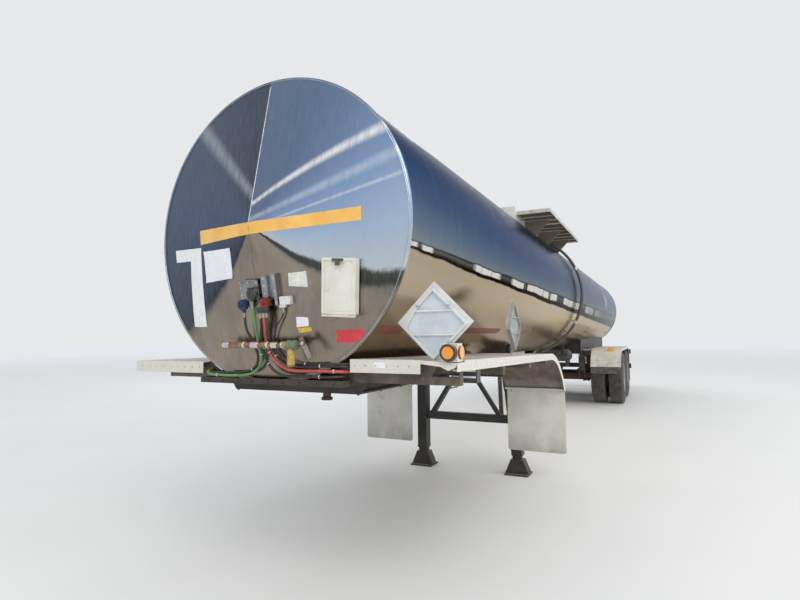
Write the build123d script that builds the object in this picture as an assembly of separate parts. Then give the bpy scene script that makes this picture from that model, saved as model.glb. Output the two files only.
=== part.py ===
from build123d import *
import os
from math import asin, atan, cos, degrees, hypot, radians, sin, sqrt, tan

# Semi-trailer with a long round insulated tank, parked on its landing legs.
# Millimetres. +X is forward, +Y is the left side, +Z is up. The origin is on the
# ground, under the middle of the trailer.

# Driving dimensions
BARREL_DIAMETER = 1684.0
BARREL_LENGTH = 12950.0
AXIS_HEIGHT = 1997.0
FRONT_CONE = 176.0
REAR_DISH = 190.0
REAR_REACH = 330.0
TYRE_RADIUS = 515.0
TYRE_WIDTH = 280.0
TRACK_OUTSIDE = 2420.0
TWIN_SPACING = 330.0
AXLE_SPREAD = 1250.0
FORE_AXLE_SHORT = 3520.0
LEG_BEHIND = 3140.0
LEG_SPREAD = 960.0
KINGPIN_BEHIND = 540.0
COUPLER_BELOW_AXIS = 904.0
WALKWAY_RISE = 61.0
SHEET = 5.0
SEAT_GAP = 0.3

FRONT_X = (BARREL_LENGTH + REAR_REACH - FRONT_CONE) / 2
FORE_AXLE_BEHIND = BARREL_LENGTH - FORE_AXLE_SHORT
BARREL_RADIUS = BARREL_DIAMETER / 2
TANK_TOP = AXIS_HEIGHT + BARREL_RADIUS
TANK_BOTTOM = AXIS_HEIGHT - BARREL_RADIUS
WALKWAY_HEIGHT = TANK_TOP + WALKWAY_RISE
COUPLER_HEIGHT = AXIS_HEIGHT - COUPLER_BELOW_AXIS


def behind(distance):
    """x of a place, from how far it lies behind the front rim."""
    return FRONT_X - distance


def between(x0, x1, y0, y1, z0, z1):
    """A block from its limits, in any order."""
    centre = Pos((x0 + x1) / 2, (y0 + y1) / 2, (z0 + z1) / 2)
    return centre * Box(abs(x1 - x0), abs(y1 - y0), abs(z1 - z0))


def rod(start, end, radius):
    """A round bar from one point to another."""
    run = Vector(*end) - Vector(*start)
    plane = Plane(origin=start, z_dir=run)
    return plane * Cylinder(radius, run.length, align=(Align.CENTER, Align.CENTER, Align.MIN))


def beam(start, end, along, width, depth):
    """A square bar from one point to another; width is measured along the given direction."""
    run = Vector(*end) - Vector(*start)
    plane = Plane(origin=start, x_dir=along, z_dir=run)
    return plane * Box(width, depth, run.length, align=(Align.CENTER, Align.CENTER, Align.MIN))


def plate_xz(points, y0, y1):
    """A sheet whose outline is drawn from the side, as x and z, from y0 to y1."""
    outline = Polyline(*[(x, y0, z) for x, z in points], close=True)
    return extrude(make_face(outline), amount=abs(y1 - y0), dir=(0, 1 if y1 > y0 else -1, 0))


def plate_yz(points, x0, x1):
    """A sheet whose outline is drawn from the front, as y and z, from x0 to x1."""
    outline = Polyline(*[(x0, y, z) for y, z in points], close=True)
    return extrude(make_face(outline), amount=abs(x1 - x0), dir=(1 if x1 > x0 else -1, 0, 0))


def plate_xy(points, z0, z1):
    """A sheet whose outline is drawn from above, as x and y, from z0 to z1."""
    outline = Polyline(*[(x, y, z0) for x, y in points], close=True)
    return extrude(make_face(outline), amount=abs(z1 - z0), dir=(0, 0, 1 if z1 > z0 else -1))


def turned_about_x(points, y, z):
    """A turned shape on a fore-and-aft axis, from its x and radius."""
    outline = Polyline(*[(x, y, z + r) for x, r in points], close=True)
    return revolve(make_face(outline), axis=Axis((0, y, z), (1, 0, 0)))


def turned_about_y(points, x, z):
    """A turned shape on a crosswise axis, from its y and radius."""
    outline = Polyline(*[(x, y, z + r) for y, r in points], close=True)
    return revolve(make_face(outline), axis=Axis((x, 0, z), (0, 1, 0)))


def turned_about_z(points, x, y):
    """A turned shape on an upright axis, from its radius and z."""
    outline = Polyline(*[(x + r, y, z) for r, z in points], close=True)
    return revolve(make_face(outline), axis=Axis((x, y, 0), (0, 0, 1)))


def mirrored(shape):
    """The same piece on the right side."""
    return mirror(shape, about=Plane.XZ)


def joined(pieces):
    """One shape from several that touch or overlap."""
    whole = pieces[0]
    for piece in pieces[1:]:
        whole = whole + piece
    return whole


def together(pieces):
    """Several loose solids in one file."""
    return Compound(children=[s for p in pieces for s in Compound(children=[p]).solids()])


def belly(y):
    """Height of the tank's underside at a distance from its middle."""
    return AXIS_HEIGHT - sqrt(BARREL_RADIUS**2 - y**2)


def crown(y):
    """Height of the tank's top at a distance from its middle."""
    return AXIS_HEIGHT + sqrt(BARREL_RADIUS**2 - y**2)


os.makedirs("parts", exist_ok=True)
nodes = {}

# Tank
RIM_WIDTH = 26.0
RIM_HEIGHT = 30.0
RIM_LIP = 7.0
HEAD_RADIUS = BARREL_RADIUS + RIM_LIP - RIM_HEIGHT
BARREL_FRONT = behind(RIM_WIDTH)
BARREL_REAR = behind(BARREL_LENGTH - RIM_WIDTH)
BARREL_AXIS = Axis((0, 0, AXIS_HEIGHT), (1, 0, 0))

barrel_middle = Plane(origin=(BARREL_REAR, 0, AXIS_HEIGHT), z_dir=(1, 0, 0))
barrel_run = BARREL_FRONT - BARREL_REAR
BARREL_BLANK = barrel_middle * Cylinder(
    BARREL_RADIUS, barrel_run, align=(Align.CENTER, Align.CENTER, Align.MIN)
)

# Manway
MANWAY_BEHIND = 5200.0
MANWAY_BORE = 508.0
MANWAY_WALL = 8.0
MANWAY_RISE = 54.0
MANWAY_TOP = TANK_TOP + MANWAY_RISE
NECK_DEPTH = 90.0
COURSE_HALF = 420.0
MANWAY_FLANGE = 24.0
MANWAY_FLANGE_THICK = 12.0
MANWAY_DEPTH = 620.0
LID_THICK = 10.0
LID_SEAT = 2.0
LID_DOME = 26.0
LID_OVERHANG = 20.0
LID_HINGE_REACH = 345.0
HINGE_PIN = 9.0
HINGE_EAR = 12.0

manway_x = behind(MANWAY_BEHIND)
manway_radius = MANWAY_BORE / 2
well_floor = MANWAY_TOP - MANWAY_DEPTH
well = Pos(manway_x, 0, well_floor) * Cylinder(
    manway_radius + MANWAY_WALL, MANWAY_DEPTH, align=(Align.CENTER, Align.CENTER, Align.MIN)
)
course_front = manway_x + COURSE_HALF
course_rear = manway_x - COURSE_HALF
courses = []
for rear, front in (
    (BARREL_REAR, course_rear - SEAT_GAP),
    (course_rear, course_front),
    (course_front + SEAT_GAP, BARREL_FRONT),
):
    course_plane = Plane(origin=(rear, 0, AXIS_HEIGHT), z_dir=(1, 0, 0))
    courses.append(course_plane * Cylinder(
        BARREL_RADIUS, front - rear, align=(Align.CENTER, Align.CENTER, Align.MIN)
    ) - well)
nodes["tank_barrel"] = together(courses)

front_head = turned_about_x(
    [
        (BARREL_FRONT, 0),
        (BARREL_FRONT, HEAD_RADIUS),
        (FRONT_X, HEAD_RADIUS),
        (FRONT_X + FRONT_CONE, 0),
    ],
    0,
    AXIS_HEIGHT,
)
nodes["front_head"] = front_head

rear_rim_x = behind(BARREL_LENGTH)
rear_arc_mid_radius = HEAD_RADIUS * sin(radians(45))
rear_sphere = (HEAD_RADIUS**2 + REAR_DISH**2) / (2 * REAR_DISH)
rear_arc_mid_x = rear_rim_x - (
    sqrt(rear_sphere**2 - rear_arc_mid_radius**2) - (rear_sphere - REAR_DISH)
)
rear_outline = [
    Line((BARREL_REAR, 0, AXIS_HEIGHT), (BARREL_REAR, 0, AXIS_HEIGHT + HEAD_RADIUS)),
    Line(
        (BARREL_REAR, 0, AXIS_HEIGHT + HEAD_RADIUS),
        (rear_rim_x, 0, AXIS_HEIGHT + HEAD_RADIUS),
    ),
    ThreePointArc(
        (rear_rim_x, 0, AXIS_HEIGHT + HEAD_RADIUS),
        (rear_arc_mid_x, 0, AXIS_HEIGHT + rear_arc_mid_radius),
        (rear_rim_x - REAR_DISH, 0, AXIS_HEIGHT),
    ),
    Line((rear_rim_x - REAR_DISH, 0, AXIS_HEIGHT), (BARREL_REAR, 0, AXIS_HEIGHT)),
]
nodes["rear_head"] = revolve(make_face(rear_outline), axis=BARREL_AXIS)


def end_rim(inner_x, outer_x):
    """The rolled ring where the jacket meets a head."""
    chamfer = RIM_LIP / 2 if outer_x > inner_x else -RIM_LIP / 2
    top = BARREL_RADIUS + RIM_LIP
    return turned_about_x(
        [
            (inner_x, HEAD_RADIUS),
            (inner_x, top - RIM_LIP / 2),
            (inner_x + chamfer, top),
            (outer_x - chamfer, top),
            (outer_x, top - RIM_LIP / 2),
            (outer_x, HEAD_RADIUS),
        ],
        0,
        AXIS_HEIGHT,
    )


nodes["end_rims"] = together([end_rim(BARREL_FRONT, FRONT_X), end_rim(BARREL_REAR, rear_rim_x)])

collar_outer = manway_radius + MANWAY_WALL
collar_flange = collar_outer + MANWAY_FLANGE
manway_collar = turned_about_z(
    [
        (manway_radius, TANK_TOP - NECK_DEPTH),
        (collar_outer, TANK_TOP - NECK_DEPTH),
        (collar_outer, MANWAY_TOP - MANWAY_FLANGE_THICK),
        (collar_flange, MANWAY_TOP - MANWAY_FLANGE_THICK),
        (collar_flange, MANWAY_TOP),
        (manway_radius, MANWAY_TOP),
    ],
    manway_x,
    0,
)
lid_radius = collar_flange + LID_OVERHANG
hinge_x = manway_x - LID_HINGE_REACH
hinge_z = MANWAY_TOP + LID_THICK
EAR_SPREAD = 75.0
ears = [
    between(
        hinge_x - 2 * HINGE_PIN,
        hinge_x + 2 * HINGE_PIN,
        side * EAR_SPREAD,
        side * (EAR_SPREAD + HINGE_EAR),
        crown(EAR_SPREAD) - HINGE_EAR,
        hinge_z + 2 * HINGE_PIN,
    )
    - BARREL_BLANK
    for side in (1, -1)
]
hinge_pin = rod(
    (hinge_x, -EAR_SPREAD - HINGE_EAR, hinge_z), (hinge_x, EAR_SPREAD + HINGE_EAR, hinge_z), HINGE_PIN
)
hinge_bridge = between(
    hinge_x - HINGE_PIN,
    manway_x - (manway_radius + MANWAY_WALL / 2),
    EAR_SPREAD,
    EAR_SPREAD + HINGE_EAR,
    crown(EAR_SPREAD) - HINGE_EAR,
    MANWAY_TOP - MANWAY_FLANGE_THICK,
) - BARREL_BLANK
nodes["manway_collar"] = joined([manway_collar, hinge_bridge, mirrored(hinge_bridge)] + ears + [hinge_pin])

LID_FIT = 0.08
ARM_WIDTH = 40.0
lid_disc = turned_about_z(
    [
        (0, MANWAY_TOP + SEAT_GAP),
        (lid_radius, MANWAY_TOP + SEAT_GAP),
        (lid_radius, MANWAY_TOP + SEAT_GAP + LID_THICK),
        (manway_radius, MANWAY_TOP + SEAT_GAP + LID_THICK),
        (manway_radius / 2, MANWAY_TOP + SEAT_GAP + LID_DOME),
        (0, MANWAY_TOP + SEAT_GAP + LID_DOME),
    ],
    manway_x,
    0,
)
lid_eye = rod((hinge_x, -ARM_WIDTH, hinge_z), (hinge_x, ARM_WIDTH, hinge_z), 2 * HINGE_PIN)
eye_hole = rod(
    (hinge_x, -ARM_WIDTH, hinge_z), (hinge_x, ARM_WIDTH, hinge_z), HINGE_PIN + LID_FIT
)
arm_link = between(
    hinge_x,
    manway_x - lid_radius + LID_OVERHANG,
    -ARM_WIDTH,
    ARM_WIDTH,
    MANWAY_TOP + SEAT_GAP + LID_SEAT,
    hinge_z + HINGE_PIN,
)
nodes["manlid"] = joined([lid_disc, arm_link, lid_eye]) - eye_hole

# Top fittings in the spill dam, each as behind, radius and height
TOP_FITTINGS = [
    # behind, y, radius, height
    (4450.0, 0.0, 95.0, 90.0),
    (6060.0, 90.0, 60.0, 95.0),
    (6060.0, -110.0, 75.0, 70.0),
]
CAP_SHARE = 0.55
fittings = []
for place, y, radius, height in TOP_FITTINGS:
    base = crown(abs(y) + radius)
    top = crown(0) + height
    fittings.append(
        turned_about_z(
            [
                (0, base - radius / 2),
                (radius * CAP_SHARE, base - radius / 2),
                (radius * CAP_SHARE, top - radius * CAP_SHARE),
                (radius, top - radius * CAP_SHARE),
                (radius, top - radius / 4),
                (radius * CAP_SHARE, top),
                (0, top),
            ],
            behind(place),
            y,
        )
        - BARREL_BLANK
    )
nodes["top_fittings"] = together(fittings)

# Spill dam round the manway
DAM_FRONT = 4000.0
DAM_REAR = 6450.0
DAM_HALF_WIDTH = 378.0
DAM_RISE = 118.0
DAM_TOP = TANK_TOP + DAM_RISE
DAM_SHEET = 6.0
DAM_SIDE_DROP = 25.0
DAM_SIDE_TOP = WALKWAY_HEIGHT - DAM_SIDE_DROP


def dam_cross(place, thickness):
    """An end wall of the dam, cut to the tank."""
    wall = between(
        behind(place), behind(place + thickness), -DAM_HALF_WIDTH, DAM_HALF_WIDTH,
        crown(DAM_HALF_WIDTH), DAM_TOP,
    )
    return wall - BARREL_BLANK


dam_side = between(
    behind(DAM_FRONT), behind(DAM_REAR), DAM_HALF_WIDTH - DAM_SHEET, DAM_HALF_WIDTH,
    crown(DAM_HALF_WIDTH), DAM_SIDE_TOP,
)
dam_walls = [
    dam_cross(DAM_FRONT, DAM_SHEET),
    dam_cross(DAM_REAR - DAM_SHEET, DAM_SHEET),
    dam_side - BARREL_BLANK,
    mirrored(dam_side) - BARREL_BLANK,
]

# Walkways beside the dam
WALK_FRONT = 4050.0
WALK_REAR = 6420.0
WALK_INNER = DAM_HALF_WIDTH
WALK_OUTER = 782.0
WALK_EDGE = 45.0
WALK_EDGE_THICK = 5.0
WALK_BARS = 9
WALK_BAR = 4.0
WALK_RIBS = 8
WALK_RIB = 12.0
WALK_FLOOR_DEPTH = 25.0

walk_low = WALKWAY_HEIGHT - WALK_EDGE
walk_edges = [
    between(behind(WALK_FRONT), behind(WALK_FRONT + WALK_EDGE_THICK),
            WALK_INNER, WALK_OUTER, walk_low, WALKWAY_HEIGHT),
    between(behind(WALK_REAR - WALK_EDGE_THICK), behind(WALK_REAR),
            WALK_INNER, WALK_OUTER, walk_low, WALKWAY_HEIGHT),
    between(behind(WALK_FRONT), behind(WALK_REAR),
            WALK_OUTER - WALK_EDGE_THICK, WALK_OUTER, walk_low, WALKWAY_HEIGHT),
    between(behind(WALK_FRONT), behind(WALK_REAR),
            WALK_INNER, WALK_INNER + WALK_EDGE_THICK, walk_low, WALKWAY_HEIGHT),
]
bar_pitch = (WALK_OUTER - WALK_INNER) / (WALK_BARS + 1)
walk_bars = [
    between(behind(WALK_FRONT), behind(WALK_REAR),
            WALK_INNER + n * bar_pitch - WALK_BAR / 2, WALK_INNER + n * bar_pitch + WALK_BAR / 2,
            WALKWAY_HEIGHT - WALK_FLOOR_DEPTH, WALKWAY_HEIGHT)
    for n in range(1, WALK_BARS + 1)
]
rib_pitch = (WALK_REAR - WALK_FRONT) / (WALK_RIBS + 1)
walk_ribs = [
    between(behind(WALK_FRONT + n * rib_pitch) - WALK_RIB / 2,
            behind(WALK_FRONT + n * rib_pitch) + WALK_RIB / 2,
            WALK_INNER, WALK_OUTER, walk_low, WALKWAY_HEIGHT - WALK_BAR)
    for n in range(1, WALK_RIBS + 1)
]
walkway = joined(walk_edges + walk_bars + walk_ribs)
nodes["walkways"] = together([walkway, mirrored(walkway)])

# Brackets that carry the walkways off the tank
BRACKET_PLACES = (4450.0, 5250.0, 6050.0)
BRACKET_THICK = 8.0
BRACKET_OUT = 700.0
BRACKET_TIP = 20.0
BRACKET_KNEE = WALK_INNER + BRACKET_OUT / 5
bracket_pieces = []
for place in BRACKET_PLACES:
    gusset = plate_yz(
        [
            (WALK_INNER, walk_low),
            (BRACKET_OUT, walk_low),
            (BRACKET_OUT, walk_low - BRACKET_TIP),
            (BRACKET_KNEE, crown(BRACKET_KNEE) - BRACKET_TIP),
            (WALK_INNER, crown(WALK_INNER) - BRACKET_TIP),
        ],
        behind(place),
        behind(place + BRACKET_THICK),
    )
    gusset = gusset - BARREL_BLANK
    bracket_pieces += [gusset, mirrored(gusset)]
nodes["spill_dam"] = joined(dam_walls + bracket_pieces)

# Drain hose from the dam, over the left side and under the tank
HOSE_BEHIND = 5800.0
HOSE_RADIUS = 20.0
HOSE_STANDOFF = 28.0
HOSE_TOP_ANGLE = 60.0
HOSE_END_ANGLE = -62.0
HOSE_TAIL = 150.0
HOSE_CLIP_ANGLES = (24.0, -28.0)

hose_path_radius = BARREL_RADIUS + HOSE_STANDOFF + HOSE_RADIUS
hose_x = behind(HOSE_BEHIND)


def round_tank(angle, radius):
    """A place beside the tank, from its angle above level on the left side."""
    return (
        hose_x,
        radius * cos(radians(angle)),
        AXIS_HEIGHT + radius * sin(radians(angle)),
    )


hose_arc = ThreePointArc(
    round_tank(HOSE_TOP_ANGLE, hose_path_radius),
    round_tank((HOSE_TOP_ANGLE + HOSE_END_ANGLE) / 2, hose_path_radius),
    round_tank(HOSE_END_ANGLE, hose_path_radius),
)
hose_end = hose_arc @ 1
hose_tail = Line(hose_end, hose_end + (hose_arc % 1) * HOSE_TAIL)
hose_start = hose_arc @ 0
hose_rise = hose_arc % 0
head_run = (hose_start.Y - DAM_HALF_WIDTH) / abs(hose_rise.Y)
hose_head = Line(hose_start - hose_rise * head_run, hose_start)
hose_route = Wire([hose_head, hose_arc, hose_tail])
hose_section = Plane(origin=hose_head @ 0, z_dir=hose_head % 0) * Circle(HOSE_RADIUS)
drain_hose = sweep(hose_section, path=hose_route)
nodes["drain_hose"] = drain_hose - between(
    behind(DAM_FRONT), behind(DAM_REAR), -DAM_HALF_WIDTH, DAM_HALF_WIDTH,
    AXIS_HEIGHT, AXIS_HEIGHT + 2 * BARREL_RADIUS,
)

CLIP_THICK = 4.0
CLIP_WIDTH = 30.0
CLIP_FIT = 0.6
clips = []
for angle in HOSE_CLIP_ANGLES:
    middle = round_tank(angle, hose_path_radius)
    foot = round_tank(angle, BARREL_RADIUS - CLIP_WIDTH)
    across = Vector(0, -sin(radians(angle)), cos(radians(angle)))
    outward = Vector(0, cos(radians(angle)), sin(radians(angle)))
    ring_plane = Plane(origin=middle, x_dir=(1, 0, 0), z_dir=across)
    ring = ring_plane * (
        Cylinder(HOSE_RADIUS + CLIP_THICK, CLIP_WIDTH) - Cylinder(HOSE_RADIUS + CLIP_FIT, 2 * CLIP_WIDTH)
    )
    post = beam(foot, Vector(*middle) - outward * HOSE_RADIUS, (1, 0, 0), CLIP_WIDTH, CLIP_WIDTH)
    hole = ring_plane * Cylinder(HOSE_RADIUS + CLIP_FIT, 2 * CLIP_WIDTH)
    clips.append(ring + (post - BARREL_BLANK - hole))
nodes["hose_clips"] = together(clips)

# Upper coupler under the nose
FLANGE_HALF_WIDTH = 480.0
FLANGE_RISE = 60.0
FLANGE_BOTTOM = COUPLER_HEIGHT + FLANGE_RISE
FLANGE_LIP = 31.0
FLANGE_SHEET = 8.0
FLANGE_FRONT = -35.0
FLANGE_REAR = 2150.0
COUPLER_HALF_WIDTH = 438.0
COUPLER_FRONT = 205.0
COUPLER_REAR = 1550.0
COUPLER_PLATE = 10.0
COUPLER_SLOPE = 25.0
COUPLER_WEB = 10.0
SADDLE_Y = 400.0
SADDLE_STATIONS = (60.0, 760.0, 1460.0, 2110.0)
COUPLER_CHANNELS = (250.0, 540.0, 890.0, 1240.0, 1520.0)
CHANNEL_WIDTH = 60.0

flange_top = FLANGE_BOTTOM + FLANGE_LIP
coupler_top = COUPLER_HEIGHT + COUPLER_PLATE
coupler_pieces = [
    between(behind(FLANGE_FRONT), behind(FLANGE_REAR), -FLANGE_HALF_WIDTH, FLANGE_HALF_WIDTH,
            FLANGE_BOTTOM, FLANGE_BOTTOM + FLANGE_SHEET),
    between(behind(FLANGE_FRONT), behind(FLANGE_FRONT + FLANGE_SHEET),
            -FLANGE_HALF_WIDTH, FLANGE_HALF_WIDTH, FLANGE_BOTTOM, flange_top),
]
for side in (1, -1):
    coupler_pieces += [
        between(behind(FLANGE_FRONT), behind(FLANGE_REAR), side * FLANGE_HALF_WIDTH,
                side * (FLANGE_HALF_WIDTH - FLANGE_SHEET), FLANGE_BOTTOM, flange_top),
        between(behind(SADDLE_STATIONS[0]), behind(FLANGE_REAR), side * SADDLE_Y,
                side * (SADDLE_Y + COUPLER_WEB), FLANGE_BOTTOM, belly(SADDLE_Y + COUPLER_WEB)),
        between(behind(COUPLER_FRONT), behind(COUPLER_REAR),
                side * (COUPLER_HALF_WIDTH - COUPLER_SLOPE),
                side * (COUPLER_HALF_WIDTH - COUPLER_SLOPE - COUPLER_WEB),
                COUPLER_HEIGHT, FLANGE_BOTTOM),
    ]
for station in SADDLE_STATIONS:
    coupler_pieces.append(
        between(behind(station), behind(station + COUPLER_WEB), -SADDLE_Y, SADDLE_Y,
                FLANGE_BOTTOM, belly(SADDLE_Y))
    )
for station in COUPLER_CHANNELS:
    coupler_pieces.append(
        between(behind(station - CHANNEL_WIDTH / 2), behind(station + CHANNEL_WIDTH / 2),
                -COUPLER_HALF_WIDTH + COUPLER_SLOPE, COUPLER_HALF_WIDTH - COUPLER_SLOPE,
                COUPLER_HEIGHT, FLANGE_BOTTOM)
    )
coupler_pieces.append(
    between(behind(COUPLER_FRONT), behind(COUPLER_REAR), -COUPLER_HALF_WIDTH, COUPLER_HALF_WIDTH,
            COUPLER_HEIGHT, coupler_top)
)
coupler_pieces.append(
    plate_yz(
        [
            (-FLANGE_HALF_WIDTH, FLANGE_BOTTOM),
            (FLANGE_HALF_WIDTH, FLANGE_BOTTOM),
            (COUPLER_HALF_WIDTH, COUPLER_HEIGHT),
            (-COUPLER_HALF_WIDTH, COUPLER_HEIGHT),
        ],
        behind(COUPLER_FRONT),
        behind(COUPLER_FRONT + COUPLER_WEB),
    )
)
rim_relief = turned_about_x(
    [
        (BARREL_FRONT, 0),
        (BARREL_FRONT, BARREL_RADIUS + RIM_LIP),
        (FRONT_X, BARREL_RADIUS + RIM_LIP),
        (FRONT_X, 0),
    ],
    0,
    AXIS_HEIGHT,
)
nodes["upper_coupler"] = joined(coupler_pieces) - BARREL_BLANK - rim_relief

# Kingpin, as radius and how far it reaches below the plate
PIN_SHOULDER = 36.5
PIN_NECK = 25.4
PIN_COLLAR = 35.7
PIN_SHOULDER_LENGTH = 35.0
PIN_NECK_LENGTH = 33.0
PIN_COLLAR_LENGTH = 16.0
neck_top = COUPLER_HEIGHT - PIN_SHOULDER_LENGTH
neck_bottom = neck_top - PIN_NECK_LENGTH
pin_bottom = neck_bottom - PIN_COLLAR_LENGTH
nodes["kingpin"] = turned_about_z(
    [
        (0, COUPLER_HEIGHT),
        (PIN_SHOULDER, COUPLER_HEIGHT),
        (PIN_SHOULDER, neck_top),
        (PIN_NECK, neck_top),
        (PIN_NECK, neck_bottom),
        (PIN_COLLAR, neck_bottom),
        (PIN_COLLAR, pin_bottom),
        (0, pin_bottom),
    ],
    behind(KINGPIN_BEHIND),
    0,
)

# Front fenders, over the towing vehicle's rear tyres
FENDER_INNER = 503.0
FENDER_OUTER = 1075.0
FENDER_RISE = 140.0
FENDER_FRONT_TOP = FLANGE_BOTTOM + FENDER_RISE
FENDER_FALL = 48.0
FENDER_REAR_TOP = FENDER_FRONT_TOP - FENDER_FALL
# The right fender sags at its front
FENDER_SAG = 26.0
FENDER_RIGHT_TOP = FENDER_FRONT_TOP - FENDER_SAG
FENDER_FLAT = 2250.0
FENDER_CURVE = 820.0
FENDER_END_DROP = 355.0
FENDER_END = FENDER_REAR_TOP - FENDER_END_DROP
FENDER_LIP = 66.0
FENDER_SKIRT = 52.0
BENT_FROM = 887.0
BENT_LENGTH = 100.0
BENT_DROP = 12.0
BENT_FORWARD = 18.0
# The torn front edge, as y and how far below the deck's front edge
BENT_EDGE = [
    (887.0, 4.0), (1000.0, 10.0), (1071.0, 15.0), (1062.0, 34.0),
    (1027.0, 48.0), (990.0, 30.0), (887.0, 18.0),
]

curve_x = behind(FENDER_FLAT)
curve_z = FENDER_REAR_TOP - FENDER_CURVE
curve_angle = degrees(asin((FENDER_END - curve_z) / FENDER_CURVE))


def on_curve(radius, angle):
    """A place on the fender's rear curve, from its angle above level."""
    return (
        curve_x - radius * cos(radians(angle)),
        curve_z + radius * sin(radians(angle)),
    )


def deck_height(x, front_top):
    """Height of a fender's top at a place along it, from the height of its front."""
    share = (FRONT_X - x) / FENDER_FLAT
    return front_top + (FENDER_REAR_TOP - front_top) * share


def curve_band(outer, inner, y0, y1):
    """A curved strip of the fender between two radii."""
    middle_angle = (90 + curve_angle) / 2
    places = [
        (outer, 90.0), (outer, middle_angle), (outer, curve_angle),
        (inner, curve_angle), (inner, middle_angle), (inner, 90.0),
    ]
    p = [(x, y0, z) for x, z in (on_curve(r, a) for r, a in places)]
    edges = [
        ThreePointArc(p[0], p[1], p[2]), Line(p[2], p[3]),
        ThreePointArc(p[3], p[4], p[5]), Line(p[5], p[0]),
    ]
    return extrude(make_face(edges), amount=y1 - y0, dir=(0, 1, 0))


def front_fender(lip_end, front_top):
    """One fender: deck, rear curve, outer skirt and front lip up to a given y."""
    deck = plate_xz(
        [
            (FRONT_X, front_top - SHEET),
            (FRONT_X, front_top),
            (curve_x, FENDER_REAR_TOP),
            (curve_x, FENDER_REAR_TOP - SHEET),
        ],
        FENDER_INNER,
        FENDER_OUTER,
    )
    skirt = plate_xz(
        [
            (FRONT_X, front_top - FENDER_SKIRT),
            (FRONT_X, front_top),
            (curve_x, FENDER_REAR_TOP),
            (curve_x, FENDER_REAR_TOP - FENDER_SKIRT),
        ],
        FENDER_OUTER - SHEET,
        FENDER_OUTER,
    )
    lip = between(FRONT_X - SHEET, FRONT_X, FENDER_INNER, lip_end,
                  front_top - FENDER_LIP, front_top)
    return joined(
        [
            deck,
            skirt,
            lip,
            curve_band(FENDER_CURVE, FENDER_CURVE - SHEET, FENDER_INNER, FENDER_OUTER),
            curve_band(FENDER_CURVE, FENDER_CURVE - FENDER_SKIRT,
                       FENDER_OUTER - SHEET, FENDER_OUTER),
        ]
    )


bent_sheet = plate_yz(
    [
        (BENT_FROM - SHEET, FENDER_FRONT_TOP - 1),
        (FENDER_OUTER, FENDER_FRONT_TOP - BENT_DROP),
        (FENDER_OUTER, FENDER_FRONT_TOP - BENT_DROP - SHEET),
        (BENT_FROM - SHEET, FENDER_FRONT_TOP - SHEET - 1),
    ],
    FRONT_X - BENT_LENGTH - SHEET,
    FRONT_X,
)
bent_edge = plate_yz([(y, FENDER_FRONT_TOP - drop) for y, drop in BENT_EDGE], FRONT_X - SHEET, FRONT_X)
bent_gap = between(FRONT_X - BENT_LENGTH, FRONT_X + SHEET, BENT_FROM, FENDER_OUTER + SHEET,
                   FENDER_FRONT_TOP - 2 * FENDER_SKIRT, FENDER_FRONT_TOP + SHEET)
bent_skirt = between(FRONT_X - BENT_LENGTH - SHEET, FRONT_X, FENDER_OUTER - SHEET, FENDER_OUTER,
                     FENDER_FRONT_TOP - FENDER_SKIRT, FENDER_FRONT_TOP - BENT_DROP)
bent_corner = joined([bent_sheet, bent_edge, bent_skirt])
bent_room = between(FRONT_X - BENT_LENGTH - 2 * SHEET, FRONT_X, BENT_FROM - 2 * SHEET, FENDER_OUTER,
                    FENDER_FRONT_TOP - BENT_DROP - 2 * SHEET, FENDER_FRONT_TOP)

# Brackets that carry the front fenders off the coupler's webs
FENDER_STATIONS = (60.0, 800.0, 1500.0, 2080.0)
FENDER_BRACKET = 6.0
CHANNEL_RISE = 19.0
CHANNEL_HEIGHT = 40.0
CHANNEL_BOTTOM = FLANGE_BOTTOM + CHANNEL_RISE
CHANNEL_TOP = CHANNEL_BOTTOM + CHANNEL_HEIGHT
CHANNEL_DEPTH = 42.0
CHANNEL_END = 1064.0
CHANNEL_RIGHT_END = 837.0
GUSSET_INSET = 164.0
GUSSET_SHOULDER = 60.0
GUSSET_RIGHT_INSET = 57.0


def fender_bracket(station, front_top, channel_end, gusset_inset):
    """One bracket under a fender, on the left side: a gusset with a channel across its foot."""
    x0 = behind(station)
    x1 = x0 - FENDER_BRACKET
    top = deck_height(x1, front_top) - SHEET
    gusset_end = channel_end - gusset_inset
    gusset = plate_yz(
        [
            (SADDLE_Y + COUPLER_WEB, CHANNEL_BOTTOM),
            (gusset_end, CHANNEL_BOTTOM),
            (gusset_end + GUSSET_SHOULDER, top),
            (FENDER_INNER, top),
            (SADDLE_Y + COUPLER_WEB, CHANNEL_TOP),
        ],
        x0,
        x1,
    )
    channel = joined(
        [
            between(x0, x1, FLANGE_HALF_WIDTH, channel_end, CHANNEL_BOTTOM, CHANNEL_TOP),
            between(x0, x0 - CHANNEL_DEPTH, FLANGE_HALF_WIDTH + SEAT_GAP, channel_end,
                    CHANNEL_BOTTOM, CHANNEL_BOTTOM + FENDER_BRACKET),
            between(x0, x0 - CHANNEL_DEPTH, FLANGE_HALF_WIDTH + SEAT_GAP, channel_end,
                    CHANNEL_TOP - FENDER_BRACKET, CHANNEL_TOP),
            between(x0, x0 - CHANNEL_DEPTH, channel_end - FENDER_BRACKET, channel_end,
                    CHANNEL_BOTTOM, deck_height(x0 - CHANNEL_DEPTH, front_top) - SHEET),
        ]
    )
    clear_lip = between(x0, x1, SADDLE_Y, FLANGE_HALF_WIDTH + SEAT_GAP, FLANGE_BOTTOM, flange_top)
    return (gusset + channel) - clear_lip


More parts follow.
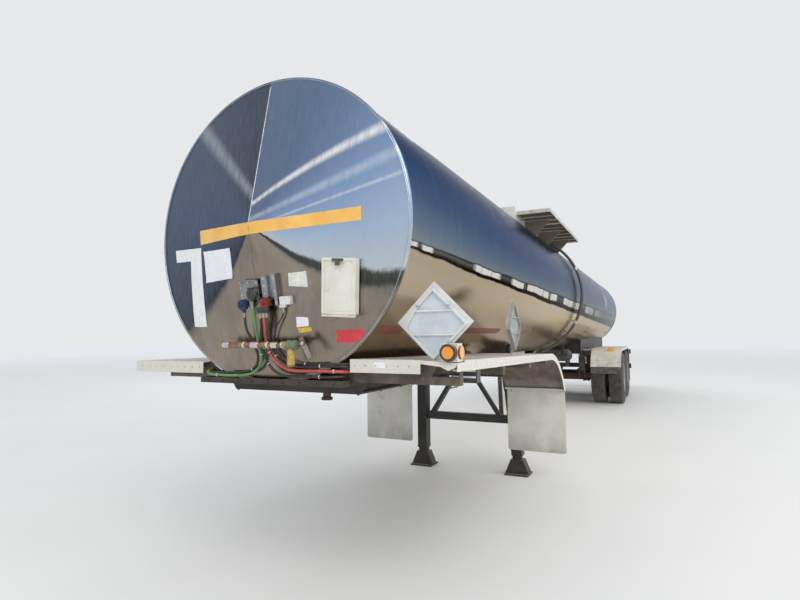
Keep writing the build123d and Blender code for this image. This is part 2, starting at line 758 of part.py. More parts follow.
fender_brackets = []
for station in FENDER_STATIONS:
    left_bracket = fender_bracket(station, FENDER_FRONT_TOP, CHANNEL_END, GUSSET_INSET)
    right_bracket = fender_bracket(station, FENDER_RIGHT_TOP, CHANNEL_RIGHT_END, GUSSET_RIGHT_INSET)
    fender_brackets += [left_bracket - bent_room, mirrored(right_bracket)]
nodes["front_fender_brackets"] = together(fender_brackets)

# Bars at the ends of the front fenders, with the mudflaps below them
FLAP_BAR_DEPTH = 18.0
FLAP_BAR_THICK = 30.0
FLAP_INNER = 520.0
FLAP_OUTER = 1070.0
FLAP_THICK = 9.0
FLAP_BOTTOM = 285.0
FLAP_CORNER = 15.0
curve_end_x = on_curve(FENDER_CURVE, curve_angle)[0]
flap_bar = between(curve_end_x, curve_end_x + FLAP_BAR_THICK, FENDER_INNER, FENDER_OUTER,
                   FENDER_END - FLAP_BAR_DEPTH, FENDER_END)
nodes["front_fender_left"] = joined(
    [front_fender(BENT_FROM, FENDER_FRONT_TOP) - bent_gap, bent_corner, flap_bar]
)
nodes["front_fender_right"] = mirrored(joined([front_fender(FENDER_OUTER, FENDER_RIGHT_TOP), flap_bar]))

FLAP_TOP = FENDER_END - FLAP_BAR_DEPTH


def mudflap(x, inner, outer, top, bottom):
    """A hanging flap with cut lower corners."""
    return plate_yz(
        [
            (inner, top),
            (outer, top),
            (outer, bottom + FLAP_CORNER),
            (outer - FLAP_CORNER, bottom),
            (inner + FLAP_CORNER, bottom),
            (inner, bottom + FLAP_CORNER),
        ],
        x,
        x + FLAP_THICK,
    )


front_flap = mudflap(curve_end_x, FLAP_INNER, FLAP_OUTER, FLAP_TOP, FLAP_BOTTOM)
nodes["front_mudflaps"] = together([front_flap, mirrored(front_flap)])

# Placard holders: a big square plate on its corner, with a smaller frame in front
HOLDER_PLATE = 400.0
HOLDER_FRAME = 345.0
HOLDER_FRAME_WALL = 12.0
HOLDER_THICK = 3.0
HOLDER_RISE = 22.0
HOLDER_FRAME_DROP = 9.0
HOLDER_PANEL = 8.0
HOLDER_CUT = (0.42, 0.88)
HOLDER_POST = 40.0
HOLDER_POST_THICK = 6.0
SLAT_HEIGHT = 9.0
SLAT_PLACES = (64.0, -52.0)


def on_corner(diagonal, cut=None):
    """A square standing on its corner; cut takes off its left corner, as shares of half the diagonal."""
    half = diagonal / 2
    if cut is None:
        return [(half, 0), (0, half), (-half, 0), (0, -half)]
    upper, lower = cut
    return [
        (half, 0),
        (0, half),
        (-half * (1 - upper), half * upper),
        (-half * lower, -half * (1 - lower)),
        (0, -half),
    ]


def placard_holder(place, foot_height):
    """One holder; the plane's z points out of its face, and its origin is the plate's middle."""
    plate = extrude(make_face(Polyline(*on_corner(HOLDER_PLATE), close=True)), HOLDER_THICK)
    shift = Pos(0, -HOLDER_FRAME_DROP, HOLDER_THICK)
    outline = make_face(Polyline(*on_corner(HOLDER_FRAME, HOLDER_CUT), close=True))
    window = make_face(Polyline(*on_corner(HOLDER_FRAME - 2 * HOLDER_FRAME_WALL, HOLDER_CUT), close=True))
    ring = extrude(outline, HOLDER_RISE) - extrude(window, HOLDER_RISE)
    panel = extrude(outline, HOLDER_PANEL)
    slats = [
        Pos(0, height, 0)
        * Box(HOLDER_FRAME - 2 * (abs(height) + SLAT_HEIGHT), SLAT_HEIGHT, HOLDER_RISE - HOLDER_THICK,
              align=(Align.CENTER, Align.CENTER, Align.MIN))
        for height in SLAT_PLACES
    ]
    post = Pos(0, 0, -HOLDER_POST_THICK) * Box(
        HOLDER_POST, foot_height, HOLDER_POST_THICK, align=(Align.CENTER, Align.MAX, Align.MIN)
    )
    corner = Pos(0, -foot_height, 0) * Box(
        HOLDER_PLATE, HOLDER_PLATE, HOLDER_PLATE, align=(Align.CENTER, Align.MAX, Align.CENTER)
    )
    whole = joined([plate, shift * panel, shift * ring, shift * slats[0], shift * slats[1], post])
    return place * (whole - corner)


HOLDER_X = behind(108.0)
HOLDER_Y = 920.0
HOLDER_RISE_Z = 180.0
HOLDER_Z = FENDER_FRONT_TOP + HOLDER_RISE_Z
SIDE_HOLDER_BEHIND = 1480.0
SIDE_HOLDER_Y = 950.0
SIDE_HOLDER_Z = HOLDER_Z + 2
front_place = Plane(origin=(HOLDER_X, HOLDER_Y, HOLDER_Z), x_dir=(0, 1, 0), z_dir=(1, 0, 0))
front_foot = HOLDER_Z - deck_height(HOLDER_X + HOLDER_RISE + HOLDER_THICK, FENDER_FRONT_TOP) - SEAT_GAP
side_x = behind(SIDE_HOLDER_BEHIND)
side_place = Plane(origin=(side_x, SIDE_HOLDER_Y, SIDE_HOLDER_Z), x_dir=(-1, 0, 0), z_dir=(0, 1, 0))
left_foot = SIDE_HOLDER_Z - deck_height(side_x + HOLDER_POST, FENDER_FRONT_TOP) - SEAT_GAP
right_foot = SIDE_HOLDER_Z - deck_height(side_x + HOLDER_POST, FENDER_RIGHT_TOP) - SEAT_GAP
left_holder = placard_holder(side_place, left_foot)
right_holder = mirrored(placard_holder(side_place, right_foot))
front_holder = placard_holder(front_place, front_foot)
nodes["placard_holders"] = together([front_holder, left_holder, right_holder])

# Marker lamp on its housing at the left fender's front corner
LAMP_Y = 1033.0
LAMP_RADIUS = 38.0
LAMP_RING = 9.0
LAMP_DEPTH = 22.0
HOUSING_WIDTH = 84.0
HOUSING_HEIGHT = 84.0
HOUSING_DEPTH = 62.0
housing_front = FRONT_X - 2.0
bent_fall = BENT_DROP * (LAMP_Y - HOUSING_WIDTH / 2 - BENT_FROM) / (FENDER_OUTER - BENT_FROM)
housing_bottom = FENDER_FRONT_TOP - bent_fall + SEAT_GAP
housing_z = housing_bottom + HOUSING_HEIGHT / 2
nodes["marker_lamp_housing"] = between(
    housing_front - HOUSING_DEPTH, housing_front,
    LAMP_Y - HOUSING_WIDTH / 2, LAMP_Y + HOUSING_WIDTH / 2,
    housing_bottom, housing_bottom + HOUSING_HEIGHT,
)
front_lens = rod((housing_front, LAMP_Y, housing_z),
                 (housing_front + LAMP_DEPTH, LAMP_Y, housing_z), LAMP_RADIUS)
side_lens = rod(
    (housing_front - HOUSING_DEPTH / 2, LAMP_Y + HOUSING_WIDTH / 2, housing_z),
    (housing_front - HOUSING_DEPTH / 2, LAMP_Y + HOUSING_WIDTH / 2 + LAMP_DEPTH / 2, housing_z),
    LAMP_RADIUS - LAMP_RING,
)

# Small junction box under the left fender
JBOX_BEHIND = 300.0
JBOX_LENGTH = 60.0
JBOX_INNER = 930.0
JBOX_OUTER = 1066.0
JBOX_RISE = 12.0
JBOX_BOTTOM = FLANGE_BOTTOM + JBOX_RISE
nodes["fender_box"] = between(
    behind(JBOX_BEHIND), behind(JBOX_BEHIND + JBOX_LENGTH), JBOX_INNER, JBOX_OUTER,
    JBOX_BOTTOM, deck_height(behind(JBOX_BEHIND + JBOX_LENGTH), FENDER_FRONT_TOP) - SHEET - SEAT_GAP,
)

# Kit on the front head. A place on the cone is given by its y and z
cone_slope = degrees(atan(FRONT_CONE / HEAD_RADIUS))


def on_head(y, z):
    """A frame on the head: x to the left side, y up, z out of the sheet."""
    reach = hypot(y, z - AXIS_HEIGHT)
    x = FRONT_X + FRONT_CONE * (1 - reach / HEAD_RADIUS)
    out_share = sin(radians(cone_slope))
    normal = Vector(
        cos(radians(cone_slope)), out_share * y / reach, out_share * (z - AXIS_HEIGHT) / reach
    )
    across = Vector(0, 1, 0) - normal * normal.Y
    return Plane(origin=(x, y, z), x_dir=across, z_dir=normal)


BOX_Y = 495.0
BOX_DROP = 337.0
BOX_Z = AXIS_HEIGHT - BOX_DROP
BOX_WIDTH = 176.0
BOX_HEIGHT = 276.0
BOX_LEAN = 4.6
BOX_DEPTH = 48.0
BOX_WALL = 4.0
BOX_STANDOFF = 10.0
BOX_LID = 6.0
BOX_LID_EDGE = 1.0
BOX_LID_BORDER = 13.0
BOX_LID_RAISE = 5.0
BOX_HINGE_RADIUS = 6.0
BOX_PIN = 3.0
BOX_PIN_FIT = 0.08
LATCH_WIDTH = 70.0
LATCH_HEIGHT = 20.0
LATCH_DEPTH = 8.0

box_place = on_head(BOX_Y, BOX_Z) * Rot(0, 0, -BOX_LEAN)
box_shell = Pos(0, 0, BOX_STANDOFF + BOX_DEPTH / 2) * Box(BOX_WIDTH, BOX_HEIGHT, BOX_DEPTH)
box_hollow = Pos(0, 0, BOX_STANDOFF + BOX_WALL + BOX_DEPTH / 2) * Box(
    BOX_WIDTH - 2 * BOX_WALL, BOX_HEIGHT - 2 * BOX_WALL, BOX_DEPTH
)
box_pads = [
    Pos(0, side * BOX_HEIGHT / 3, 0) * Box(BOX_WIDTH / 2, BOX_STANDOFF, 2 * BOX_STANDOFF)
    for side in (1, -1)
]
hinge_line_y = -BOX_HEIGHT / 2 - BOX_HINGE_RADIUS - 2
hinge_line_z = BOX_STANDOFF + BOX_DEPTH + SEAT_GAP + BOX_LID / 2
KNUCKLE = 36.0
KNUCKLE_GAP = 1.0
BOX_LUG = 3.0


def across_bar(start, end, radius):
    """A round bar along the box's hinge line."""
    middle = Pos((start + end) / 2, hinge_line_y, hinge_line_z)
    return middle * Rot(0, 90, 0) * Cylinder(radius, abs(end - start))


box_lugs = []
for side in (1, -1):
    knuckle_place = side * (BOX_WIDTH / 2 - KNUCKLE / 2)
    lug = Pos(knuckle_place, hinge_line_y + BOX_HINGE_RADIUS / 2 + KNUCKLE_GAP,
              BOX_STANDOFF + BOX_DEPTH - BOX_LUG) * Box(
        KNUCKLE - 2 * KNUCKLE_GAP, BOX_HINGE_RADIUS + 2 * BOX_LUG, 2 * BOX_LUG
    )
    knuckle = across_bar(knuckle_place - KNUCKLE / 2 + KNUCKLE_GAP,
                         knuckle_place + KNUCKLE / 2 - KNUCKLE_GAP, BOX_HINGE_RADIUS)
    box_lugs += [lug, knuckle]
box_pin = across_bar(-BOX_WIDTH / 2 + KNUCKLE_GAP, BOX_WIDTH / 2 - KNUCKLE_GAP, BOX_PIN)
box_body = joined([box_shell - box_hollow, box_pads[0], box_pads[1]] + box_lugs + [box_pin])
nodes["document_box"] = box_place * box_body - front_head

lid_low = BOX_STANDOFF + BOX_DEPTH + SEAT_GAP
lid_width = BOX_WIDTH - 2 * BOX_LID_EDGE
lid_height = BOX_HEIGHT - 2 * BOX_LID_EDGE
lid_raised = Pos(0, 0, lid_low + (BOX_LID + BOX_LID_RAISE) / 2) * Box(
    lid_width, lid_height, BOX_LID + BOX_LID_RAISE
)
lid_window = Pos(0, 0, lid_low + BOX_LID + BOX_LID_RAISE) * Box(
    lid_width - 2 * BOX_LID_BORDER, lid_height - 2 * BOX_LID_BORDER, 2 * BOX_LID_RAISE
)
knuckle_run = BOX_WIDTH / 2 - KNUCKLE - KNUCKLE_GAP
lid_knuckle = across_bar(-knuckle_run, knuckle_run, BOX_HINGE_RADIUS)
leaf_run = abs(hinge_line_y) - lid_height / 2 + BOX_LID_BORDER / 2
lid_leaf = Pos(0, hinge_line_y + leaf_run / 2, hinge_line_z) * Box(2 * knuckle_run, leaf_run, BOX_LID)
pin_hole = across_bar(-BOX_WIDTH, BOX_WIDTH, BOX_PIN + BOX_PIN_FIT)
latch = Pos(0, (lid_height - LATCH_HEIGHT) / 2, lid_low + BOX_LID + BOX_LID_RAISE + LATCH_DEPTH / 2) * Box(
    LATCH_WIDTH, LATCH_HEIGHT, LATCH_DEPTH
)
box_lid = joined([lid_raised - lid_window, lid_leaf, lid_knuckle, latch]) - pin_hole
nodes["document_box_lid"] = box_place * box_lid

# Bracket with the lamp socket and the service coupling
GLAD_Y = -38.0
GLAD_DROP = 333.0
GLAD_Z = AXIS_HEIGHT - GLAD_DROP
GLAD_WIDTH = 128.0
GLAD_HEIGHT = 104.0
GLAD_SHEET = 5.0
GLAD_STANDOFF = 24.0
GLAD_LEG = 14.0
SOCKET_RADIUS = 28.0
SOCKET_DEPTH = 30.0
SOCKET_U = 33.0
SOCKET_V = -22.0
TAB_WIDTH = 30.0
COUPLING_RADIUS = 29.0
COUPLING_THICK = 24.0
COUPLING_NECK = 10.0
COUPLING_REACH = 40.0
COUPLING_BELOW = 26.0
GLAND_RADIUS = 13.0
GLAND_U = 18.0
GLAND_TOP = -40.0
GLAND_END = -70.0

glad_place = on_head(GLAD_Y, GLAD_Z)
glad_face = GLAD_STANDOFF + GLAD_SHEET / 2
service_u = -46.0
service_v = -GLAD_HEIGHT / 2 - COUPLING_BELOW
glad_plate = Pos(0, 0, GLAD_STANDOFF) * Box(GLAD_WIDTH, GLAD_HEIGHT, GLAD_SHEET)
glad_legs = [
    Pos(side * (GLAD_WIDTH - GLAD_SHEET) / 2, 0, GLAD_STANDOFF / 2 - GLAD_LEG / 2)
    * Box(GLAD_SHEET, GLAD_HEIGHT / 2, GLAD_STANDOFF + GLAD_LEG)
    for side in (1, -1)
]
glad_roof = Pos(0, (GLAD_HEIGHT - GLAD_SHEET) / 2, GLAD_STANDOFF + GLAD_LEG / 2) * Box(
    GLAD_WIDTH, GLAD_SHEET, GLAD_LEG + GLAD_SHEET
)
glad_socket = Pos(SOCKET_U, SOCKET_V, GLAD_STANDOFF + SOCKET_DEPTH / 2) * Cylinder(
    SOCKET_RADIUS, SOCKET_DEPTH
)
glad_tab = Pos(service_u, service_v + COUPLING_BELOW / 2, GLAD_STANDOFF) * Box(
    TAB_WIDTH, 2 * COUPLING_BELOW, GLAD_SHEET
)


glad_gland = Pos(GLAND_U, (GLAND_TOP + GLAND_END) / 2, glad_face + COUPLING_THICK / 2) * Rot(
    90, 0, 0
) * Cylinder(GLAND_RADIUS, GLAND_TOP - GLAND_END)
service_face = glad_face + SEAT_GAP
service_body = Pos(service_u, service_v, service_face + COUPLING_THICK / 2) * Cylinder(
    COUPLING_RADIUS, COUPLING_THICK
)
service_neck = Pos(
    service_u, service_v - COUPLING_REACH / 2, service_face + COUPLING_THICK / 2
) * Rot(90, 0, 0) * Cylinder(COUPLING_NECK, COUPLING_REACH)
nodes["service_coupling"] = glad_place * (service_body + service_neck)

# Channel beside it that carries the emergency coupling
CHANNEL_Y = 91.0
CHANNEL_DROP = 329.0
CHANNEL_Z = AXIS_HEIGHT - CHANNEL_DROP
CHANNEL_BACK = 10.0
CHANNEL_FACE = 28.0
CHANNEL_BITS = [
    # across, up, width, height, back, face
    (0.0, 3.0, 92.0, 126.0, -8.0, CHANNEL_BACK),
    (-28.0, 8.0, 36.0, 110.0, 0.0, CHANNEL_FACE),
    (36.0, -12.0, 18.0, 166.0, 0.0, CHANNEL_FACE),
    (-26.0, -70.0, 22.0, 60.0, CHANNEL_FACE - GLAD_SHEET, CHANNEL_FACE),
]
EMERGENCY_U = -26.0
EMERGENCY_V = -76.0
EMERGENCY_RADIUS = 26.0
MANIFOLD_U = -46.0
MANIFOLD_TOP = -98.0
MANIFOLD_END = -128.0
MANIFOLD_WIDTH = 62.0
channel_place = on_head(CHANNEL_Y, CHANNEL_Z)
channel_parts = [
    Pos(u, v, (back + face) / 2) * Box(width, height, face - back)
    for u, v, width, height, back, face in CHANNEL_BITS
]
glad_frame = joined([glad_plate, glad_tab, glad_legs[0], glad_legs[1], glad_roof])
glad_whole = joined([glad_place * glad_frame - front_head, glad_place * glad_socket, glad_place * glad_gland])
nodes["air_bracket"] = together([glad_whole, channel_place * joined(channel_parts) - front_head])
emergency_face = CHANNEL_FACE + SEAT_GAP
emergency_middle = emergency_face + COUPLING_THICK / 2
emergency_body = Pos(EMERGENCY_U, EMERGENCY_V, emergency_middle) * Cylinder(EMERGENCY_RADIUS, COUPLING_THICK)
manifold = Pos(MANIFOLD_U, (MANIFOLD_TOP + MANIFOLD_END) / 2, emergency_middle) * Box(
    MANIFOLD_WIDTH, MANIFOLD_TOP - MANIFOLD_END, COUPLING_THICK
)
nodes["emergency_coupling"] = channel_place * (emergency_body + manifold)

# White terminal box with a plug under it
TERMINAL_Y = 176.0
TERMINAL_DROP = 398.0
TERMINAL_Z = AXIS_HEIGHT - TERMINAL_DROP
TERMINAL_WIDTH = 64.0
TERMINAL_HEIGHT = 42.0
TERMINAL_DEPTH = 26.0
TERMINAL_PLUG = 36.0
PLUG_HEIGHT = 15.0
terminal_place = on_head(TERMINAL_Y, TERMINAL_Z)
terminal = Pos(0, 0, TERMINAL_DEPTH / 2 - TERMINAL_PLUG / 8) * Box(
    TERMINAL_WIDTH, TERMINAL_HEIGHT, TERMINAL_DEPTH + TERMINAL_PLUG / 4
)
PLUG_U = -21.0
plug = Pos(PLUG_U, -(TERMINAL_HEIGHT + PLUG_HEIGHT) / 2, TERMINAL_DEPTH / 2) * Box(
    TERMINAL_PLUG, PLUG_HEIGHT, TERMINAL_DEPTH - GLAD_SHEET
)
nodes["terminal_box"] = terminal_place * (terminal + plug) - front_head

# Pipe along the lower head, with its valve, lever and drop pipe
PIPE_RADIUS = 15.0
PIPE_DROP = 631.0
PIPE_Z = AXIS_HEIGHT - PIPE_DROP
PIPE_LEFT = -262.0
PIPE_RIGHT = 196.0
PIPE_X = FRONT_X + 100.0
VALVE_RADIUS = 23.0
VALVE_WIDTH = 54.0
DROP_RADIUS = 19.0
DROP_LENGTH = 106.0
STEM_RADIUS = 9.0
STEM_REACH = 52.0
LEVER_WIDTH = 26.0
LEVER_THICK = 6.0
LEVER_LENGTH = 120.0
LEVER_LEAN = 28.0
LEVER_ABOVE = 30.0
PIPE_POST_PLACES = (-190.0, 150.0)
POST_RADIUS = 10.0
pipe_pieces = [rod((PIPE_X, PIPE_LEFT, PIPE_Z), (PIPE_X, PIPE_RIGHT, PIPE_Z), PIPE_RADIUS)]
for y in PIPE_POST_PLACES:
    pipe_pieces.append(
        rod((FRONT_X, y, PIPE_Z), (PIPE_X, y, PIPE_Z), POST_RADIUS) - front_head
    )
valve_body = rod((PIPE_X, PIPE_RIGHT, PIPE_Z), (PIPE_X, PIPE_RIGHT + VALVE_WIDTH, PIPE_Z), VALVE_RADIUS)
drop_y = PIPE_RIGHT + DROP_RADIUS
drop = rod((PIPE_X, drop_y, PIPE_Z), (PIPE_X, drop_y, PIPE_Z - DROP_LENGTH), DROP_RADIUS)
stem_y = PIPE_RIGHT + VALVE_WIDTH
stem_end = (PIPE_X + STEM_RADIUS, stem_y + STEM_REACH, PIPE_Z + STEM_RADIUS)
stem = rod((PIPE_X, stem_y - STEM_RADIUS, PIPE_Z), stem_end, STEM_RADIUS)
lever_x = PIPE_X + 2 * STEM_RADIUS
lever_share = sin(radians(LEVER_LEAN))
lever_top = (lever_x, stem_end[1] - LEVER_ABOVE * lever_share, stem_end[2] + LEVER_ABOVE)
lever_low = (
    lever_x,
    lever_top[1] + LEVER_LENGTH * lever_share,
    lever_top[2] - LEVER_LENGTH * cos(radians(LEVER_LEAN)),
)
lever = beam(lever_top, lever_low, (1, 0, 0), LEVER_THICK, LEVER_WIDTH)
lever_pin = rod(stem_end, (lever_x + LEVER_THICK, stem_end[1], stem_end[2]), STEM_RADIUS + 2)
nodes["front_pipe"] = joined(pipe_pieces + [valve_body, drop, stem, lever_pin, lever])


def cord(points, radius):
    """A hose along straight runs joined by arcs as large as the runs allow."""
    places = [Vector(*p) for p in points]
    radii = []
    for before, at, after in zip(places, places[1:], places[2:]):
        turn = (at - before).get_angle(after - at)
        short = min((at - before).length, (after - at).length)
        radii.append(CORD_SHARE * short / tan(radians(turn / 2)))
    print("cord radii", [round(r) for r in radii])
    path = FilletPolyline(*places, radius=radii)
    section = Plane(origin=path @ 0, z_dir=path % 0) * Circle(radius)
    return sweep(section, path=path)


CORD_SHARE = 0.45
# Hoses from the couplings down behind the pipe and along the coupler's flange. Each
# place is how far it stands in front of the rim, its y and how far it is below the axis.
FRONT_HOSES = [
    # name, radius, places
    ("hose_service", 7.0, [
        (115.8, -84.9, 456.9), (107.0, -87.0, 496.0), (92.0, -92.0, 545.0), (73.0, -83.0, 583.0),
        (62.0, -70.0, 617.0), (60.0, -51.0, 653.0), (54.0, -40.0, 684.0), (40.0, -54.0, 724.0),
        (25.0, -96.0, 762.0), (14.0, -160.0, 782.0), (13.0, -260.0, 787.0), (12.0, -345.0, 789.0),
        (11.0, -414.0, 790.0), (-4.0, -441.0, 791.0), (-30.0, -458.0, 791.0), (-59.7, -458.0, 791.0),
    ]),
    ("cable_green", 8.0, [
        (127.9, -21.0, 410.0), (111.0, -21.0, 488.0), (86.0, -29.0, 551.0), (64.0, -34.0, 605.0),
        (61.0, -23.0, 648.0), (57.0, -14.0, 686.0), (46.0, -29.0, 735.0), (36.0, -73.0, 777.0),
        (30.0, -140.0, 796.0), (29.0, -220.0, 800.0), (29.0, -320.0, 801.0), (28.0, -419.0, 799.0),
        (10.0, -452.0, 788.0), (-22.0, -472.0, 776.0), (-59.7, -472.0, 776.0),
    ]),
    ("hose_mid", 7.0, [
        (119.2, 27.3, 463.5), (110.0, 26.0, 507.0), (88.0, 8.0, 557.0), (66.0, -12.0, 605.0),
        (60.0, -3.0, 653.0), (54.0, 7.0, 690.0), (46.0, 24.0, 735.0), (36.0, 66.0, 779.0),
        (29.0, 130.0, 796.0), (28.0, 220.0, 797.0), (28.0, 320.0, 796.0), (28.0, 405.0, 795.0),
        (10.0, 438.0, 795.0), (-22.0, 458.0, 795.0), (-59.7, 458.0, 795.0),
    ]),
    ("hose_red", 8.5, [
        (118.1, 47.3, 463.2), (109.0, 47.0, 507.0), (84.0, 31.0, 557.0), (64.0, 22.0, 605.0),
        (62.0, 33.0, 653.0), (57.0, 52.0, 690.0), (46.0, 88.0, 731.0), (33.0, 138.0, 761.0),
        (20.0, 210.0, 768.0), (17.0, 320.0, 766.0), (14.0, 428.0, 767.0), (-1.0, 455.0, 768.0),
        (-28.0, 472.0, 769.0), (-59.7, 472.0, 769.0),
    ]),
    ("hose_right", 7.0, [
        (117.0, 67.2, 463.0), (108.5, 67.0, 507.0), (86.0, 56.0, 557.0), (64.0, 46.0, 605.0),
        (61.0, 60.0, 653.0), (54.0, 88.0, 695.0), (43.0, 124.0, 732.0), (30.0, 176.0, 746.0),
        (16.0, 260.0, 744.0), (13.0, 350.0, 742.0), (12.0, 443.0, 741.0), (-3.0, 470.0, 741.0),
        (-29.0, 486.0, 743.0), (-59.7, 486.0, 743.0),
    ]),
    ("cable_lamp", 4.0, [
        (90.0, 155.8, 436.6), (83.5, 154.0, 472.0), (83.0, 128.0, 504.0), (80.0, 100.0, 542.0),
        (71.0, 79.0, 580.0), (65.0, 72.0, 617.0), (62.0, 80.0, 653.0), (58.0, 106.0, 691.0),
        (48.0, 142.0, 717.0), (34.0, 190.0, 729.0), (22.0, 250.0, 731.0), (17.0, 310.0, 730.0),
        (15.0, 370.0, 729.0), (14.0, 430.0, 728.0), (2.0, 466.0, 728.0), (-24.0, 494.0, 729.0),
        (-59.7, 494.0, 729.0),
    ]),
]
for name, radius, places in FRONT_HOSES:
    nodes[name] = cord([(FRONT_X + x, y, AXIS_HEIGHT - drop) for x, y, drop in places], radius)

# Landing legs. The left one has been pushed outward at its foot
LEG_TUBE = 105.0
LEG_RISE = 12.0
LEG_TUBE_BOTTOM = 190.0
LEG_INNER = 85.0
LEG_PUSHED = 100.0
LEG_TOP_SHIFT = 24.0
FOOT_HEIGHT = 150.0
FOOT_LENGTH = 210.0
FOOT_TOP = 125.0
FOOT_WIDTH = 240.0
FOOT_BASE = 14.0
leg_x = behind(LEG_BEHIND)
leg_y = LEG_SPREAD / 2
leg_top = belly(leg_y - LEG_TUBE / 2) + LEG_RISE


def landing_leg(top_y, foot_y):
    """One leg with its foot; its tube leans when the two places differ."""
    lean = (foot_y - top_y) / (leg_top - LEG_TUBE_BOTTOM)
    knee_y = foot_y - lean * (LEG_TUBE_BOTTOM - FOOT_HEIGHT)
    tube = beam((leg_x, foot_y, LEG_TUBE_BOTTOM), (leg_x, top_y, leg_top), (1, 0, 0), LEG_TUBE, LEG_TUBE)
    foot_side = plate_yz(
        [
            (foot_y - FOOT_WIDTH / 2, FOOT_BASE),
            (foot_y + FOOT_WIDTH / 2, FOOT_BASE),
            (foot_y + FOOT_TOP / 2, FOOT_HEIGHT),
            (foot_y - FOOT_TOP / 2, FOOT_HEIGHT),
        ],
        leg_x - LEG_INNER / 2 - FOOT_BASE,
        leg_x + LEG_INNER / 2 + FOOT_BASE,
    )
    inner = between(leg_x - LEG_INNER / 2, leg_x + LEG_INNER / 2, knee_y - LEG_INNER / 2,
                    knee_y + LEG_INNER / 2, FOOT_HEIGHT - FOOT_BASE, LEG_TUBE_BOTTOM + FOOT_BASE)
    pad = between(leg_x - FOOT_LENGTH / 2, leg_x + FOOT_LENGTH / 2,
                  foot_y - FOOT_WIDTH / 2, foot_y + FOOT_WIDTH / 2, 0, FOOT_BASE)
    return joined([tube, inner, foot_side, pad])


leg_left = landing_leg(leg_y - LEG_TOP_SHIFT, leg_y - LEG_TOP_SHIFT + LEG_PUSHED)
leg_right = landing_leg(-leg_y, -leg_y)
both_legs = together([leg_left, leg_right])
nodes["landing_legs"] = both_legs - BARREL_BLANK

# Bolster that carries the legs, and the braces between them
BOLSTER_LENGTH = 220.0
BOLSTER_SHEET = 10.0
BOLSTER_DROP = 75.0
BRACE_Z = 540.0
BRACE_HEIGHT = 80.0
BRACE_DEPTH = 60.0
BRACE_BAR = 40.0
BOLSTER_BOTTOM = TANK_BOTTOM - BOLSTER_DROP
bolster = between(leg_x - BOLSTER_LENGTH / 2, leg_x + BOLSTER_LENGTH / 2,
                  -leg_y, leg_y, BOLSTER_BOTTOM, belly(leg_y))
bolster_hollow = between(leg_x - BOLSTER_LENGTH / 2 + BOLSTER_SHEET,
                         leg_x + BOLSTER_LENGTH / 2 - BOLSTER_SHEET,
                         -leg_y - BOLSTER_SHEET, leg_y + BOLSTER_SHEET,
                         BOLSTER_BOTTOM + BOLSTER_SHEET, belly(leg_y))

brace_low = BRACE_Z + BRACE_HEIGHT / 2
brace_bars = [
    between(leg_x - BRACE_DEPTH / 2, leg_x + BRACE_DEPTH / 2, -leg_y, leg_y,
            BRACE_Z - BRACE_HEIGHT / 2, brace_low)
]
BRACE_TOP_Y = 40.0
BRACE_BACK = 700.0
BRACE_BACK_Y = 180.0
BRACE_START = 380.0
back_foot_z = belly(BRACE_BACK_Y)
for side in (1, -1):
    brace_bars.append(
        beam((leg_x, side * BRACE_START, brace_low - BRACE_BAR / 2),
             (leg_x, side * BRACE_TOP_Y, BOLSTER_BOTTOM + BOLSTER_SHEET / 2),
             (1, 0, 0), BRACE_BAR, BRACE_BAR)
    )
    brace_bars.append(
        beam((leg_x - BRACE_DEPTH / 2, side * (leg_y - LEG_TUBE / 2 - BRACE_BAR), BRACE_Z),
             (leg_x - BRACE_BACK, side * BRACE_BACK_Y, back_foot_z + BRACE_BAR),
             (0, 1, 0), BRACE_BAR, BRACE_BAR)
    )
leg_frame = joined(brace_bars + [bolster - bolster_hollow]) - BARREL_BLANK - both_legs
nodes["leg_braces"] = max(leg_frame.solids(), key=lambda s: s.volume)

# Crank with its cross shaft and gearbox on the left leg
CRANK_DROP = 100.0
CRANK_Z = BOLSTER_BOTTOM - CRANK_DROP
SHAFT_RADIUS = 14.0
SHAFT_SHIFT = 37.0
GEARBOX = 110.0
CRANK_REACH = 230.0
CRANK_OUT = 60.0
crank_share = (leg_top - CRANK_Z) / (leg_top - LEG_TUBE_BOTTOM)
shaft_y = leg_y - LEG_TOP_SHIFT + LEG_PUSHED * crank_share + LEG_TUBE / 2
shaft_x = leg_x - SHAFT_SHIFT
shaft = rod((shaft_x, -leg_y, CRANK_Z), (shaft_x, leg_y, CRANK_Z), SHAFT_RADIUS) - both_legs
gearbox = between(shaft_x - GEARBOX / 2, leg_x + LEG_TUBE / 2, shaft_y - LEG_INNER / 2, shaft_y + GEARBOX / 2,
                  CRANK_Z - GEARBOX / 2, CRANK_Z + GEARBOX / 2)
crank_y = shaft_y + GEARBOX / 2 + CRANK_OUT
crank_end_x = shaft_x - CRANK_REACH
crank_arm = joined(
    [
        gearbox,
        rod((shaft_x, shaft_y + GEARBOX / 2, CRANK_Z), (shaft_x, crank_y, CRANK_Z), SHAFT_RADIUS),
        rod((shaft_x + SHAFT_RADIUS, crank_y, CRANK_Z), (crank_end_x, crank_y, CRANK_Z),
            SHAFT_RADIUS - 1),
        rod((crank_end_x, crank_y, CRANK_Z), (crank_end_x, crank_y + 2 * CRANK_OUT, CRANK_Z),
            SHAFT_RADIUS),
    ]
)
crank_whole = crank_arm - both_legs
outer_crank = max(crank_whole.solids(), key=lambda s: s.bounding_box().max.Y)
nodes["leg_crank"] = together([shaft, outer_crank])

